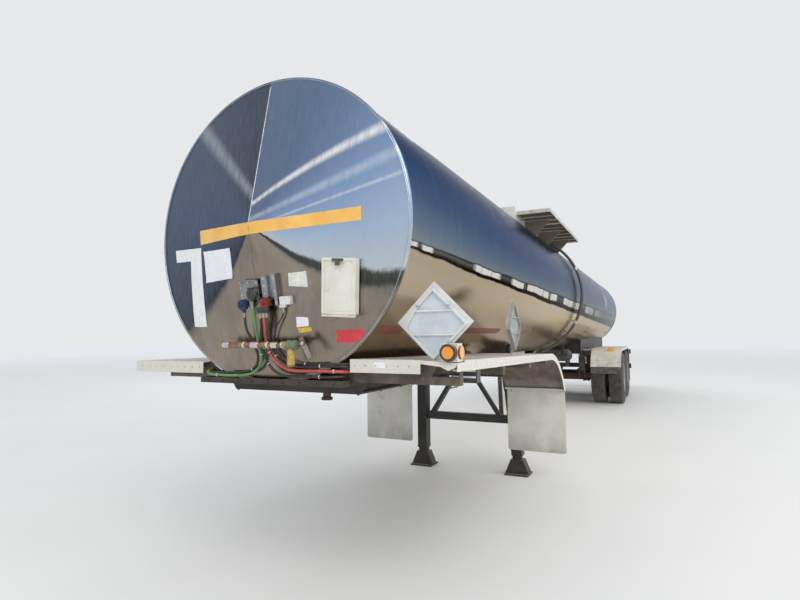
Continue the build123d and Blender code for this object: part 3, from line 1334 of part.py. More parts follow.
# Rear subframe
RAIL_Y = 470.0
RAIL_WEB = 12.0
RAIL_BELOW_AXIS = 1047.0
RAIL_BOTTOM = AXIS_HEIGHT - RAIL_BELOW_AXIS
RAIL_FLANGE = 80.0
RAIL_AHEAD = 780.0
RAIL_INSET = 50.0
RAIL_FRONT = FORE_AXLE_BEHIND - RAIL_AHEAD
RAIL_SHORT = 60.0
RAIL_REAR = BARREL_LENGTH - RAIL_SHORT
RAIL_FLANGE_THICK = 12.0
HANGER_SHORT = 450.0
FRAME_SHORT = 1550.0
HANGER_STATION = BARREL_LENGTH - HANGER_SHORT
SUBFRAME_STATIONS = (
    RAIL_FRONT + RAIL_INSET, FORE_AXLE_BEHIND, FORE_AXLE_BEHIND + AXLE_SPREAD / 2,
    FORE_AXLE_BEHIND + AXLE_SPREAD, BARREL_LENGTH - FRAME_SHORT, HANGER_STATION,
)
SUBFRAME_RISE = 60.0
SUBFRAME_BOTTOM = RAIL_BOTTOM + SUBFRAME_RISE
SUBFRAME_SHEET = 10.0
rail_inner = RAIL_Y - RAIL_WEB / 2
rail_outer = RAIL_Y + RAIL_WEB / 2
subframe = []
for side in (1, -1):
    subframe += [
        between(behind(RAIL_FRONT), behind(RAIL_REAR), side * rail_inner, side * rail_outer,
                RAIL_BOTTOM, belly(rail_outer)),
        between(behind(RAIL_FRONT), behind(RAIL_REAR), side * (RAIL_Y - RAIL_FLANGE / 2),
                side * (RAIL_Y + RAIL_FLANGE / 2), RAIL_BOTTOM, RAIL_BOTTOM + RAIL_FLANGE_THICK),
    ]
for station in SUBFRAME_STATIONS:
    subframe.append(
        between(behind(station), behind(station + SUBFRAME_SHEET), -rail_inner, rail_inner,
                SUBFRAME_BOTTOM, belly(rail_inner))
    )
rear_subframe = joined(subframe) - BARREL_BLANK

# Suspension: hangers, leaf springs and clamps on each axle
AXLE_RADIUS = 63.5
HANGER_WIDTH = 110.0
HANGER_LENGTH = 150.0
HANGER_BOTTOM = 560.0
HANGER_BLOCK = 682.0
HANGER_SHEET = 10.0
SPRING_WIDTH = 76.0
SPRING_REACH = 600.0
SPRING_SEAT = 600.0
SPRING_STACK = 50.0
SPRING_EYE_TOP = HANGER_BLOCK - SEAT_GAP
SPRING_END = 18.0
axle_places = (FORE_AXLE_BEHIND, FORE_AXLE_BEHIND + AXLE_SPREAD)
hanger_places = (
    FORE_AXLE_BEHIND - AXLE_SPREAD / 2,
    FORE_AXLE_BEHIND + AXLE_SPREAD / 2,
    FORE_AXLE_BEHIND + 3 * AXLE_SPREAD / 2,
)
HANGER_TAPER = 30.0
hangers = []
for place in hanger_places:
    x = behind(place)
    sides = [
        plate_xz(
            [
                (x - HANGER_LENGTH / 2, RAIL_BOTTOM),
                (x + HANGER_LENGTH / 2, RAIL_BOTTOM),
                (x + HANGER_LENGTH / 2 - HANGER_TAPER, HANGER_BOTTOM),
                (x - HANGER_LENGTH / 2 + HANGER_TAPER, HANGER_BOTTOM),
            ],
            RAIL_Y + edge * HANGER_WIDTH / 2,
            RAIL_Y + edge * (HANGER_WIDTH / 2 - HANGER_SHEET),
        )
        for edge in (1, -1)
    ]
    block = between(x - HANGER_LENGTH / 2 + HANGER_TAPER, x + HANGER_LENGTH / 2 - HANGER_TAPER,
                    RAIL_Y - HANGER_WIDTH / 2, RAIL_Y + HANGER_WIDTH / 2, HANGER_BLOCK, RAIL_BOTTOM)
    whole = joined([block] + sides)
    hangers += [whole, mirrored(whole)]
nodes["spring_hangers"] = together(hangers)


def leaf_spring(place):
    """A spring pack that is thick in the middle and thin at its ends, resting on the axle."""
    x = behind(place)
    y0 = RAIL_Y - SPRING_WIDTH / 2
    low, high = SPRING_SEAT, SPRING_SEAT + SPRING_STACK
    front = x + SPRING_REACH
    rear = x - SPRING_REACH
    edges = [
        ThreePointArc((front, y0, SPRING_EYE_TOP - SPRING_END), (x, y0, low),
                      (rear, y0, SPRING_EYE_TOP - SPRING_END)),
        Line((rear, y0, SPRING_EYE_TOP - SPRING_END), (rear, y0, SPRING_EYE_TOP)),
        ThreePointArc((rear, y0, SPRING_EYE_TOP), (x, y0, high), (front, y0, SPRING_EYE_TOP)),
        Line((front, y0, SPRING_EYE_TOP), (front, y0, SPRING_EYE_TOP - SPRING_END)),
    ]
    return extrude(make_face(edges), amount=SPRING_WIDTH, dir=(0, 1, 0))


CLAMP_LENGTH = 150.0
CLAMP_PLATE = 14.0
UBOLT_RADIUS = 10.0
UBOLT_X = 55.0
springs, clamps, axles = [], [], {}
ubolt_y = SPRING_WIDTH / 2 + UBOLT_RADIUS + 2
clamp_half = ubolt_y + UBOLT_RADIUS + 4
spring_rise = 3.0


def axle_clamp(place):
    """Seat, top and bottom plates and four bolts that hold a spring to its axle."""
    x = behind(place)
    top = SPRING_SEAT + SPRING_STACK + spring_rise
    bottom = TYRE_RADIUS - AXLE_RADIUS
    seat = between(x - CLAMP_LENGTH / 2, x + CLAMP_LENGTH / 2, RAIL_Y - clamp_half,
                   RAIL_Y + clamp_half, TYRE_RADIUS, SPRING_SEAT + spring_rise)
    plates = [
        between(x - CLAMP_LENGTH / 2, x + CLAMP_LENGTH / 2, RAIL_Y - clamp_half,
                RAIL_Y + clamp_half, z, z + CLAMP_PLATE)
        for z in (top, bottom - CLAMP_PLATE)
    ]
    bolts = [
        rod((x + dx, RAIL_Y + dy, bottom - 2 * CLAMP_PLATE), (x + dx, RAIL_Y + dy, top + 2 * CLAMP_PLATE),
            UBOLT_RADIUS)
        for dx in (UBOLT_X, -UBOLT_X)
        for dy in (ubolt_y, -ubolt_y)
    ]
    return joined([seat] + plates + bolts)


for place in axle_places:
    spring = leaf_spring(place)
    springs += [spring, mirrored(spring)]

# Axle beams with their drums' backing plates and spindles
hub_outer_face = TRACK_OUTSIDE / 2 - TYRE_WIDTH / 2
outer_tyre_y = hub_outer_face
inner_tyre_y = outer_tyre_y - TWIN_SPACING
MOUNT_Y = (outer_tyre_y + inner_tyre_y) / 2
SPINDLE_RADIUS = 45.0
SPINDLE_FIT = 0.08
SPINDLE_END = MOUNT_Y + 130.0
BEAM_END = inner_tyre_y - 75.0
BACKING_RADIUS = 178.0
BACKING_THICK = 10.0


def axle(place):
    """One axle beam across the trailer."""
    x = behind(place)
    end = BEAM_END
    return turned_about_y(
        [
            (-SPINDLE_END, 0), (-SPINDLE_END, SPINDLE_RADIUS), (-end, SPINDLE_RADIUS),
            (-end, BACKING_RADIUS), (-end + BACKING_THICK, BACKING_RADIUS),
            (-end + BACKING_THICK, AXLE_RADIUS), (end - BACKING_THICK, AXLE_RADIUS),
            (end - BACKING_THICK, BACKING_RADIUS), (end, BACKING_RADIUS),
            (end, SPINDLE_RADIUS), (SPINDLE_END, SPINDLE_RADIUS), (SPINDLE_END, 0),
        ],
        x,
        TYRE_RADIUS,
    )


for name, place in zip(("fore", "aft"), axle_places):
    beam_piece = axle(place)
    axles[name] = beam_piece
    for side in (1, -1):
        clamp = axle_clamp(place)
        clamps.append((clamp if side > 0 else mirrored(clamp)) - beam_piece)
nodes["leaf_springs"] = together(springs)
clamp_cutters = Compound(children=springs)
nodes["spring_clamps"] = together([clamp - clamp_cutters for clamp in clamps])

# Brake chambers behind each axle
CHAMBER_RADIUS = 82.0
CHAMBER_LENGTH = 150.0
CHAMBER_Y = 330.0
CHAMBER_RISE = 90.0
CHAMBER_BACK = 130.0
chambers = []
for place in axle_places:
    x = behind(place)
    for side in (1, -1):
        can = rod((x - CHAMBER_BACK, side * CHAMBER_Y, TYRE_RADIUS + CHAMBER_RISE),
                  (x - CHAMBER_BACK - CHAMBER_LENGTH, side * CHAMBER_Y, TYRE_RADIUS + CHAMBER_RISE),
                  CHAMBER_RADIUS)
        bracket = between(x - CHAMBER_BACK, x, side * (CHAMBER_Y - BRACE_BAR),
                          side * (CHAMBER_Y + BRACE_BAR), TYRE_RADIUS,
                          TYRE_RADIUS + CHAMBER_RISE)
        chambers += [can, bracket]
nodes["axles"] = together(
    [joined([axles["fore"]] + chambers[:4]), joined([axles["aft"]] + chambers[4:])]
)

# Twin wheels. Profiles are y from the mounting face and radius
BEAD_RADIUS = 286.0
TREAD_HALF = 118.0
TREAD_EDGE = TYRE_WIDTH / 2
HUB_FLANGE = 12.0
HUB_RADIUS = 110.0
HUB_CAP = 72.0
HUB_CAP_DEPTH = 160.0
DISC_THICK = 14.0
DISC_SEAT = 172.0
DISC_DISH = 62.0
RIM_BARREL = 246.0
RIM_EDGE = 268.0
RIM_INSET = 18.0
DRUM_RADIUS = 208.0
DRUM_INSIDE = 188.0
DRUM_CLEAR = 8.0


def tyre(centre, x):
    """One tyre as a plain ring; its outer face is its widest part."""
    return turned_about_y(
        [
            (centre - TREAD_EDGE, BEAD_RADIUS), (centre - TREAD_HALF, TYRE_RADIUS),
            (centre + TREAD_HALF, TYRE_RADIUS), (centre + TREAD_EDGE, BEAD_RADIUS),
        ],
        x,
        TYRE_RADIUS,
    )


def wheel_disc(side):
    """A dished wheel on one side of the hub's flange, as y and radius from the middle."""
    face = HUB_FLANGE / 2
    rim_end = TWIN_SPACING / 2 + TREAD_EDGE - RIM_INSET
    rim_start = TWIN_SPACING / 2 - TREAD_EDGE + 2 * RIM_INSET
    profile = [
        (face, HUB_RADIUS), (face + DISC_THICK, HUB_RADIUS),
        (face + DISC_THICK, DISC_SEAT - DISC_THICK), (face + DISC_DISH, RIM_BARREL),
        (rim_end - RIM_INSET, RIM_BARREL), (rim_end, RIM_EDGE), (rim_end, BEAD_RADIUS),
        (rim_start, BEAD_RADIUS), (rim_start, RIM_EDGE), (face, DISC_SEAT),
    ]
    return [(MOUNT_Y + side * y, r) for y, r in profile]


def twin_wheel(x):
    """Two wheels, hub and drum, turning on the spindle."""
    bore = SPINDLE_RADIUS + SPINDLE_FIT
    drum_start = BEAM_END + DRUM_CLEAR - HUB_FLANGE
    drum_end = MOUNT_Y - HUB_FLANGE / 2 - DISC_THICK - DRUM_CLEAR
    hub = turned_about_y(
        [
            (BEAM_END + 4 * DRUM_CLEAR, bore), (BEAM_END + 4 * DRUM_CLEAR, HUB_CAP),
            (drum_end - HUB_FLANGE, HUB_CAP), (drum_end - HUB_FLANGE, DRUM_INSIDE),
            (drum_start, DRUM_INSIDE), (drum_start, DRUM_RADIUS), (drum_end, DRUM_RADIUS),
            (drum_end, HUB_RADIUS), (MOUNT_Y - HUB_FLANGE / 2, HUB_RADIUS),
            (MOUNT_Y - HUB_FLANGE / 2, DISC_SEAT - DISC_THICK),
            (MOUNT_Y + HUB_FLANGE / 2, DISC_SEAT - DISC_THICK),
            (MOUNT_Y + HUB_FLANGE / 2, HUB_RADIUS), (MOUNT_Y + 3 * DISC_DISH / 2, HUB_RADIUS),
            (MOUNT_Y + 3 * DISC_DISH / 2, HUB_CAP), (MOUNT_Y + HUB_CAP_DEPTH, HUB_CAP),
            (MOUNT_Y + HUB_CAP_DEPTH, 0), (SPINDLE_END + DRUM_CLEAR, 0),
            (SPINDLE_END + DRUM_CLEAR, bore),
        ],
        x,
        TYRE_RADIUS,
    )
    outer = turned_about_y(wheel_disc(1), x, TYRE_RADIUS)
    inner = turned_about_y(wheel_disc(-1), x, TYRE_RADIUS)
    return joined([hub, outer, inner])


for name, place in zip(("fore", "aft"), axle_places):
    x = behind(place)
    tyres = [tyre(outer_tyre_y, x), tyre(inner_tyre_y, x)]
    wheels = twin_wheel(x)
    nodes["tyres_" + name + "_left"] = together(tyres)
    nodes["tyres_" + name + "_right"] = together([mirrored(t) for t in tyres])
    nodes["wheels_" + name + "_left"] = wheels
    nodes["wheels_" + name + "_right"] = mirrored(wheels)

# Rear fenders over both axles
REAR_FENDER_ROOM = 75.0
REAR_FENDER_TOP = 2 * TYRE_RADIUS + REAR_FENDER_ROOM
REAR_LIP_RISE = 255.0
REAR_FENDER_LIP = TYRE_RADIUS + REAR_LIP_RISE
REAR_FENDER_CURVE = 465.0
REAR_FENDER_INNER = 655.0
REAR_FENDER_OUTER = 1200.0
REAR_FENDER_FLAT = 430.0
REAR_FENDER_SKIRT = 45.0
rear_curve_z = REAR_FENDER_TOP - REAR_FENDER_CURVE
rear_angle = degrees(asin((REAR_FENDER_LIP - rear_curve_z) / REAR_FENDER_CURVE))
flat_front_x = behind(FORE_AXLE_BEHIND - REAR_FENDER_FLAT)
flat_rear_x = behind(FORE_AXLE_BEHIND + AXLE_SPREAD + REAR_FENDER_FLAT)


def fender_outline(radius, y):
    """The fender's side outline at a radius, from its front lip to its rear lip."""
    def place(centre_x, side, angle):
        return (centre_x + side * radius * cos(radians(angle)), y,
                rear_curve_z + radius * sin(radians(angle)))
    half_angle = (90 + rear_angle) / 2
    front = [place(flat_front_x, 1, a) for a in (rear_angle, half_angle, 90)]
    rear = [place(flat_rear_x, -1, a) for a in (90, half_angle, rear_angle)]
    return front, rear


def fender_band(outer, inner, y0, y1):
    """A strip of the fender between two radii and two widths."""
    f_out, r_out = fender_outline(outer, y0)
    f_in, r_in = fender_outline(inner, y0)
    edges = [
        ThreePointArc(*f_out), Line(f_out[2], r_out[0]), ThreePointArc(*r_out),
        Line(r_out[2], r_in[2]), ThreePointArc(*r_in[::-1]), Line(r_in[0], f_in[2]),
        ThreePointArc(*f_in[::-1]), Line(f_in[0], f_out[0]),
    ]
    return extrude(make_face(edges), amount=y1 - y0, dir=(0, 1, 0))


rear_fender = joined(
    [
        fender_band(REAR_FENDER_CURVE, REAR_FENDER_CURVE - SHEET, REAR_FENDER_INNER, REAR_FENDER_OUTER),
        fender_band(REAR_FENDER_CURVE, REAR_FENDER_CURVE - REAR_FENDER_SKIRT,
                    REAR_FENDER_OUTER - SHEET, REAR_FENDER_OUTER),
    ]
)
nodes["rear_fenders"] = together([rear_fender, mirrored(rear_fender)])

ARM_RADIUS = 20.0
ARM_SHIFT = 1025.0
ARM_MIDDLE = FORE_AXLE_BEHIND + AXLE_SPREAD / 2
ARM_STATIONS = (ARM_MIDDLE - ARM_SHIFT, ARM_MIDDLE, ARM_MIDDLE + ARM_SHIFT)
ARM_END = 1150.0
arm_z = REAR_FENDER_TOP - SHEET - ARM_RADIUS
fender_arms = []
for station in ARM_STATIONS:
    arm = rod((behind(station), rail_outer, arm_z), (behind(station), ARM_END, arm_z), ARM_RADIUS)
    fender_arms += [arm, mirrored(arm)]
nodes["rear_fender_arms"] = together(fender_arms)

# Lamps on the rear fenders' front lips
LIP_LAMP_AHEAD = 630.0
LIP_LAMP_BEHIND = FORE_AXLE_BEHIND - LIP_LAMP_AHEAD
LIP_LAMP_Y = 990.0
LIP_LAMP_SIZE = 70.0
lip_x = behind(LIP_LAMP_BEHIND)
lip_rise = sqrt(REAR_FENDER_CURVE**2 - (lip_x - flat_front_x) ** 2)
lip_lamp = joined(
    [
        between(lip_x, lip_x - SHEET, LIP_LAMP_Y - LIP_LAMP_SIZE / 2, LIP_LAMP_Y + LIP_LAMP_SIZE,
                rear_curve_z + lip_rise - LIP_LAMP_SIZE / 2, rear_curve_z + lip_rise + LIP_LAMP_SIZE),
        rod((lip_x, LIP_LAMP_Y, rear_curve_z + lip_rise + LIP_LAMP_SIZE / 2),
            (lip_x + LAMP_DEPTH, LIP_LAMP_Y, rear_curve_z + lip_rise + LIP_LAMP_SIZE / 2),
            LIP_LAMP_SIZE / 4),
    ]
)
lip_lamp = lip_lamp - rear_fender
lip_lamp = max(lip_lamp.solids(), key=lambda s: s.bounding_box().max.Z)

# Flaps at both ends of the rear fenders
LIP_FLAP_BOTTOM = 640.0
REAR_FLAP_BOTTOM = 280.0
front_lip_x = fender_outline(REAR_FENDER_CURVE, 0)[0][0][0]
rear_lip_x = fender_outline(REAR_FENDER_CURVE, 0)[1][2][0]
lip_low = rear_curve_z + (REAR_FENDER_CURVE - SHEET) * sin(radians(rear_angle))
lip_flap = mudflap(front_lip_x - FLAP_THICK, REAR_FENDER_INNER, REAR_FENDER_OUTER - SHEET,
                   lip_low, LIP_FLAP_BOTTOM)
rear_flap = mudflap(rear_lip_x, REAR_FENDER_INNER, REAR_FENDER_OUTER - SHEET,
                    lip_low, REAR_FLAP_BOTTOM)
nodes["rear_mudflaps"] = together([lip_flap, mirrored(lip_flap), rear_flap, mirrored(rear_flap)])

# Rear bumper, its posts and arms
BUMPER_DEPTH = 100.0
BUMPER_HEIGHT = 120.0
BUMPER_BOTTOM = 480.0
BUMPER_HALF = 1150.0
POST_Y = RAIL_Y
POST_WIDTH = 80.0
BUMPER_ARM_HEIGHT = 100.0
BUMPER_BRACE = 400.0
bumper_rear = behind(BARREL_LENGTH + REAR_REACH)
bumper_front = bumper_rear + BUMPER_DEPTH
bumper_pieces = [
    between(bumper_front, bumper_rear, -BUMPER_HALF, BUMPER_HALF, BUMPER_BOTTOM,
            BUMPER_BOTTOM + BUMPER_HEIGHT),
]
for side in (1, -1):
    y0 = side * (POST_Y - POST_WIDTH / 2)
    y1 = side * (POST_Y + POST_WIDTH / 2)
    bumper_pieces += [
        between(bumper_front, bumper_front - BUMPER_DEPTH, y0, y1, BUMPER_BOTTOM,
                RAIL_BOTTOM + BUMPER_ARM_HEIGHT),
        between(behind(RAIL_REAR), bumper_front, y0, y1, RAIL_BOTTOM,
                RAIL_BOTTOM + BUMPER_ARM_HEIGHT),
        plate_xz(
            [
                (behind(RAIL_REAR - BUMPER_BRACE), RAIL_BOTTOM),
                (bumper_front, RAIL_BOTTOM),
                (bumper_front, BUMPER_BOTTOM),
            ],
            y0,
            y1,
        ),
    ]

# Lamp panels on the bumper's posts
PANEL_HEIGHT = 120.0
PANEL_BELOW_RAIL = 90.0
PANEL_BOTTOM = RAIL_BOTTOM - PANEL_BELOW_RAIL
PANEL_DEPTH = 60.0
PANEL_OUTER = 1150.0
panel_inner = POST_Y + POST_WIDTH / 2
TAIL_LAMP_RADIUS = 52.0
TAIL_LAMP_DEPTH = 22.0
TAIL_LAMPS = (640.0, 800.0, 1040.0)
panel = between(bumper_rear + PANEL_DEPTH + TAIL_LAMP_DEPTH, bumper_rear + TAIL_LAMP_DEPTH,
                panel_inner, PANEL_OUTER, PANEL_BOTTOM, PANEL_BOTTOM + PANEL_HEIGHT)
nodes["rear_bumper"] = joined(bumper_pieces + [panel, mirrored(panel)])
tail_lamps = []
for y in TAIL_LAMPS:
    lamp = rod((bumper_rear + TAIL_LAMP_DEPTH, y, PANEL_BOTTOM + PANEL_HEIGHT / 2),
               (bumper_rear, y, PANEL_BOTTOM + PANEL_HEIGHT / 2), TAIL_LAMP_RADIUS)
    tail_lamps += [lamp, mirrored(lamp)]
nodes["marker_lenses"] = together([front_lens, side_lens, lip_lamp, mirrored(lip_lamp)])
nodes["tail_lamps"] = together(tail_lamps)

# Bottom outlet, its valve and the discharge pipe with a bolted flange
OUTLET_SHORT = 750.0
OUTLET_BEHIND = BARREL_LENGTH - OUTLET_SHORT
OUTLET_RADIUS = 57.0
SUMP_RADIUS = 115.0
SUMP_DROP = 105.0
SUMP_BOTTOM = TANK_BOTTOM - SUMP_DROP
VALVE_BODY_RADIUS = 95.0
VALVE_BODY_HEIGHT = 120.0
VALVE_BODY_BOTTOM = SUMP_BOTTOM - VALVE_BODY_HEIGHT
DISCHARGE_DROP = 195.0
DISCHARGE_Z = VALVE_BODY_BOTTOM - DISCHARGE_DROP
DISCHARGE_PAST = 110.0
DISCHARGE_END = BARREL_LENGTH + DISCHARGE_PAST
FLANGE_RADIUS = 114.5
FLANGE_THICK = 24.0
FLANGE_BOLTS = 8
FLANGE_BOLT_CIRCLE = 190.5
FLANGE_HOLE = 9.5
DISCHARGE_BORE = 51.0
DISCHARGE_BORE_DEPTH = 220.0
outlet_x = behind(OUTLET_BEHIND)
ELBOW = 120.0
sump = turned_about_z(
    [
        (0, belly(0) + SUMP_RADIUS), (SUMP_RADIUS, belly(0) + SUMP_RADIUS),
        (SUMP_RADIUS, SUMP_BOTTOM), (0, SUMP_BOTTOM),
    ],
    outlet_x,
    0,
)
outlet_valve = turned_about_z(
    [
        (0, SUMP_BOTTOM), (VALVE_BODY_RADIUS, SUMP_BOTTOM),
        (VALVE_BODY_RADIUS, VALVE_BODY_BOTTOM), (0, VALVE_BODY_BOTTOM),
    ],
    outlet_x,
    0,
)
elbow_path = [
    Line((outlet_x, 0, VALVE_BODY_BOTTOM), (outlet_x, 0, DISCHARGE_Z + ELBOW)),
    ThreePointArc(
        (outlet_x, 0, DISCHARGE_Z + ELBOW),
        (outlet_x - ELBOW * (1 - cos(radians(45))), 0, DISCHARGE_Z + ELBOW * (1 - sin(radians(45)))),
        (outlet_x - ELBOW, 0, DISCHARGE_Z),
    ),
    Line((outlet_x - ELBOW, 0, DISCHARGE_Z), (behind(DISCHARGE_END), 0, DISCHARGE_Z)),
]
pipe_section = Plane(origin=(outlet_x, 0, VALVE_BODY_BOTTOM), z_dir=(0, 0, -1)) * Circle(OUTLET_RADIUS)
discharge_pipe = sweep(pipe_section, path=Wire(elbow_path))
flange_face = behind(DISCHARGE_END)
discharge_flange = rod((flange_face + FLANGE_THICK, 0, DISCHARGE_Z), (flange_face, 0, DISCHARGE_Z),
                       FLANGE_RADIUS)
discharge = discharge_pipe + discharge_flange
discharge = discharge - rod((flange_face + DISCHARGE_BORE_DEPTH, 0, DISCHARGE_Z),
                            (flange_face, 0, DISCHARGE_Z), DISCHARGE_BORE)
for n in range(FLANGE_BOLTS):
    angle = radians((n + 0.5) * 360 / FLANGE_BOLTS)
    y = FLANGE_BOLT_CIRCLE / 2 * cos(angle)
    z = DISCHARGE_Z + FLANGE_BOLT_CIRCLE / 2 * sin(angle)
    discharge = discharge - rod((flange_face + 2 * FLANGE_THICK, y, z), (flange_face, y, z), FLANGE_HOLE)
nodes["discharge_pipe"] = joined([sump - BARREL_BLANK, outlet_valve, discharge])

# Hanger that carries the discharge pipe from the subframe
hanger_x = behind(HANGER_STATION)
pipe_hanger = between(hanger_x, hanger_x - SUBFRAME_SHEET, -OUTLET_RADIUS, OUTLET_RADIUS,
                      DISCHARGE_Z + OUTLET_RADIUS - 10, SUBFRAME_BOTTOM)
nodes["rear_subframe"] = joined([rear_subframe, pipe_hanger]) - discharge_pipe

# Air reservoir
RESERVOIR_AHEAD = 1180.0
RESERVOIR_BEHIND = FORE_AXLE_BEHIND - RESERVOIR_AHEAD
RESERVOIR_DROP = 155.0
RESERVOIR_Z = TANK_BOTTOM - RESERVOIR_DROP
RESERVOIR_RADIUS = 115.0
RESERVOIR_HALF = 360.0
RESERVOIR_CAP = 60.0
STRAP_Y = 200.0
STRAP_WIDTH = 40.0
reservoir_x = behind(RESERVOIR_BEHIND)
reservoir = turned_about_y(
    [
        (-RESERVOIR_HALF, 0), (-RESERVOIR_HALF, RESERVOIR_RADIUS - RESERVOIR_CAP),
        (-RESERVOIR_HALF + RESERVOIR_CAP, RESERVOIR_RADIUS),
        (RESERVOIR_HALF - RESERVOIR_CAP, RESERVOIR_RADIUS),
        (RESERVOIR_HALF, RESERVOIR_RADIUS - RESERVOIR_CAP), (RESERVOIR_HALF, 0),
    ],
    reservoir_x,
    RESERVOIR_Z,
)
nodes["air_reservoir"] = reservoir
straps = []
for side in (1, -1):
    strap = between(reservoir_x - RESERVOIR_RADIUS, reservoir_x + RESERVOIR_RADIUS,
                    side * (STRAP_Y - STRAP_WIDTH / 2), side * (STRAP_Y + STRAP_WIDTH / 2),
                    RESERVOIR_Z, belly(STRAP_Y + STRAP_WIDTH / 2))
    straps.append(strap - reservoir - BARREL_BLANK)
nodes["reservoir_brackets"] = together(straps)

# Ladder on the right side, up to the walkway
LADDER_BEHIND = 5230.0
LADDER_WIDTH = 400.0
LADDER_Y = 935.0
LADDER_BOTTOM = 600.0
LADDER_SHORT = 15.0
LADDER_TOP = WALKWAY_HEIGHT - LADDER_SHORT
STRINGER = 17.0
RUNG = 13.0
RUNG_PITCH = 300.0
LOW_STANDOFF = 647.0
HIGH_STANDOFF = 353.0
STANDOFF_HEIGHTS = (AXIS_HEIGHT - LOW_STANDOFF, AXIS_HEIGHT + HIGH_STANDOFF)
ladder_x = behind(LADDER_BEHIND)
ladder_bits = []
for edge in (1, -1):
    x = ladder_x + edge * LADDER_WIDTH / 2
    ladder_bits.append(rod((x, -LADDER_Y, LADDER_BOTTOM), (x, -LADDER_Y, LADDER_TOP), STRINGER))
    ladder_bits.append(
        rod((x, -LADDER_Y, LADDER_TOP - STRINGER), (x, -WALK_OUTER, LADDER_TOP - STRINGER), RUNG)
    )
    for height in STANDOFF_HEIGHTS:
        ladder_bits.append(
            rod((x, -LADDER_Y, height), (x, -LADDER_Y / 2, height), RUNG) - BARREL_BLANK
        )
rung_z = LADDER_BOTTOM + STRINGER
while rung_z < LADDER_TOP:
    ladder_bits.append(
        rod((ladder_x - LADDER_WIDTH / 2, -LADDER_Y, rung_z),
            (ladder_x + LADDER_WIDTH / 2, -LADDER_Y, rung_z), RUNG)
    )
    rung_z += RUNG_PITCH
nodes["ladder"] = joined(ladder_bits)

for name, shape in nodes.items():
    export_step(shape, "parts/" + name + ".step")
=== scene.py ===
import random
from math import atan, cos, hypot, pi, radians, sin

import bmesh
import bpy
from mathutils import Matrix, Vector


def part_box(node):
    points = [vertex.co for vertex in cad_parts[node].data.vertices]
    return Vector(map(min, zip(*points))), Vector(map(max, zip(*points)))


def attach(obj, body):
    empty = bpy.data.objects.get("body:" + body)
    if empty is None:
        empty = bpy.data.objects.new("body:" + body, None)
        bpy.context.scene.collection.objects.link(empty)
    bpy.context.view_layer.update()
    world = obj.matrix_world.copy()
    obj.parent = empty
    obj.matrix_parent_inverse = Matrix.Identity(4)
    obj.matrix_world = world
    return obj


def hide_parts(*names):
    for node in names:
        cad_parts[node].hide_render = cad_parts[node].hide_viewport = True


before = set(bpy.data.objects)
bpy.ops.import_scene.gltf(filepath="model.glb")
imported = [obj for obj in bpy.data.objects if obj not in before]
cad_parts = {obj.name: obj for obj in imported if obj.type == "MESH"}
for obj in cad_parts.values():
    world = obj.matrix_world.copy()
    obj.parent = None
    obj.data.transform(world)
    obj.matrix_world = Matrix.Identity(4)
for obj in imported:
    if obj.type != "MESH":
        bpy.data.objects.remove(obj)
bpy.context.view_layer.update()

# Main places of the trailer, in metres
AXIS_Z = 1.997
BARREL_R = 0.842
HEAD_R = 0.819
RIM_X = 6.552
CONE = 0.176
REAR_RIM_X = -6.398
AXLES = (("fore", -2.878), ("aft", -4.128))
WHEEL_Z = 0.515
LEG_X = 3.412
LID_X, LID_Z = 1.352, 2.9033
KINGPIN_X = 6.012
LADDER_Y = -0.935
DRAIN_X, DRAIN_R = 0.752, 0.890
DISCHARGE_Z = 0.735
SIDES = (1, -1)
AHEAD, LEFT, UP = Vector((1, 0, 0)), Vector((0, 1, 0)), Vector((0, 0, 1))
SQUARE = ((-1, -1), (1, -1), (1, 1), (-1, 1))
SEED = 11


def into_scene(name, data):
    thing = bpy.data.objects.new(name, data)
    bpy.context.scene.collection.objects.link(thing)
    return thing


# ---------------- camera
def aim_camera():
    yaw, pitch, roll = radians(26.23), radians(3.8195), radians(-0.5511)
    look = Vector((-cos(yaw) * cos(pitch), -sin(yaw) * cos(pitch), sin(pitch)))
    side = look.cross(Vector((0, 0, 1))).normalized()
    rise = side.cross(look)
    right = side * cos(roll) + rise * sin(roll)
    up = rise * cos(roll) - side * sin(roll)
    data = bpy.data.cameras.new("camera")
    data.lens = 23.79
    data.sensor_width = 36
    data.sensor_fit = "HORIZONTAL"
    data.clip_start = 0.05
    data.clip_end = 300
    camera = into_scene("camera", data)
    turn = Matrix((right, up, -look)).transposed().to_4x4()
    camera.matrix_world = Matrix.Translation((8.8295, 1.9079, 1.4101)) @ turn
    bpy.context.scene.camera = camera


aim_camera()


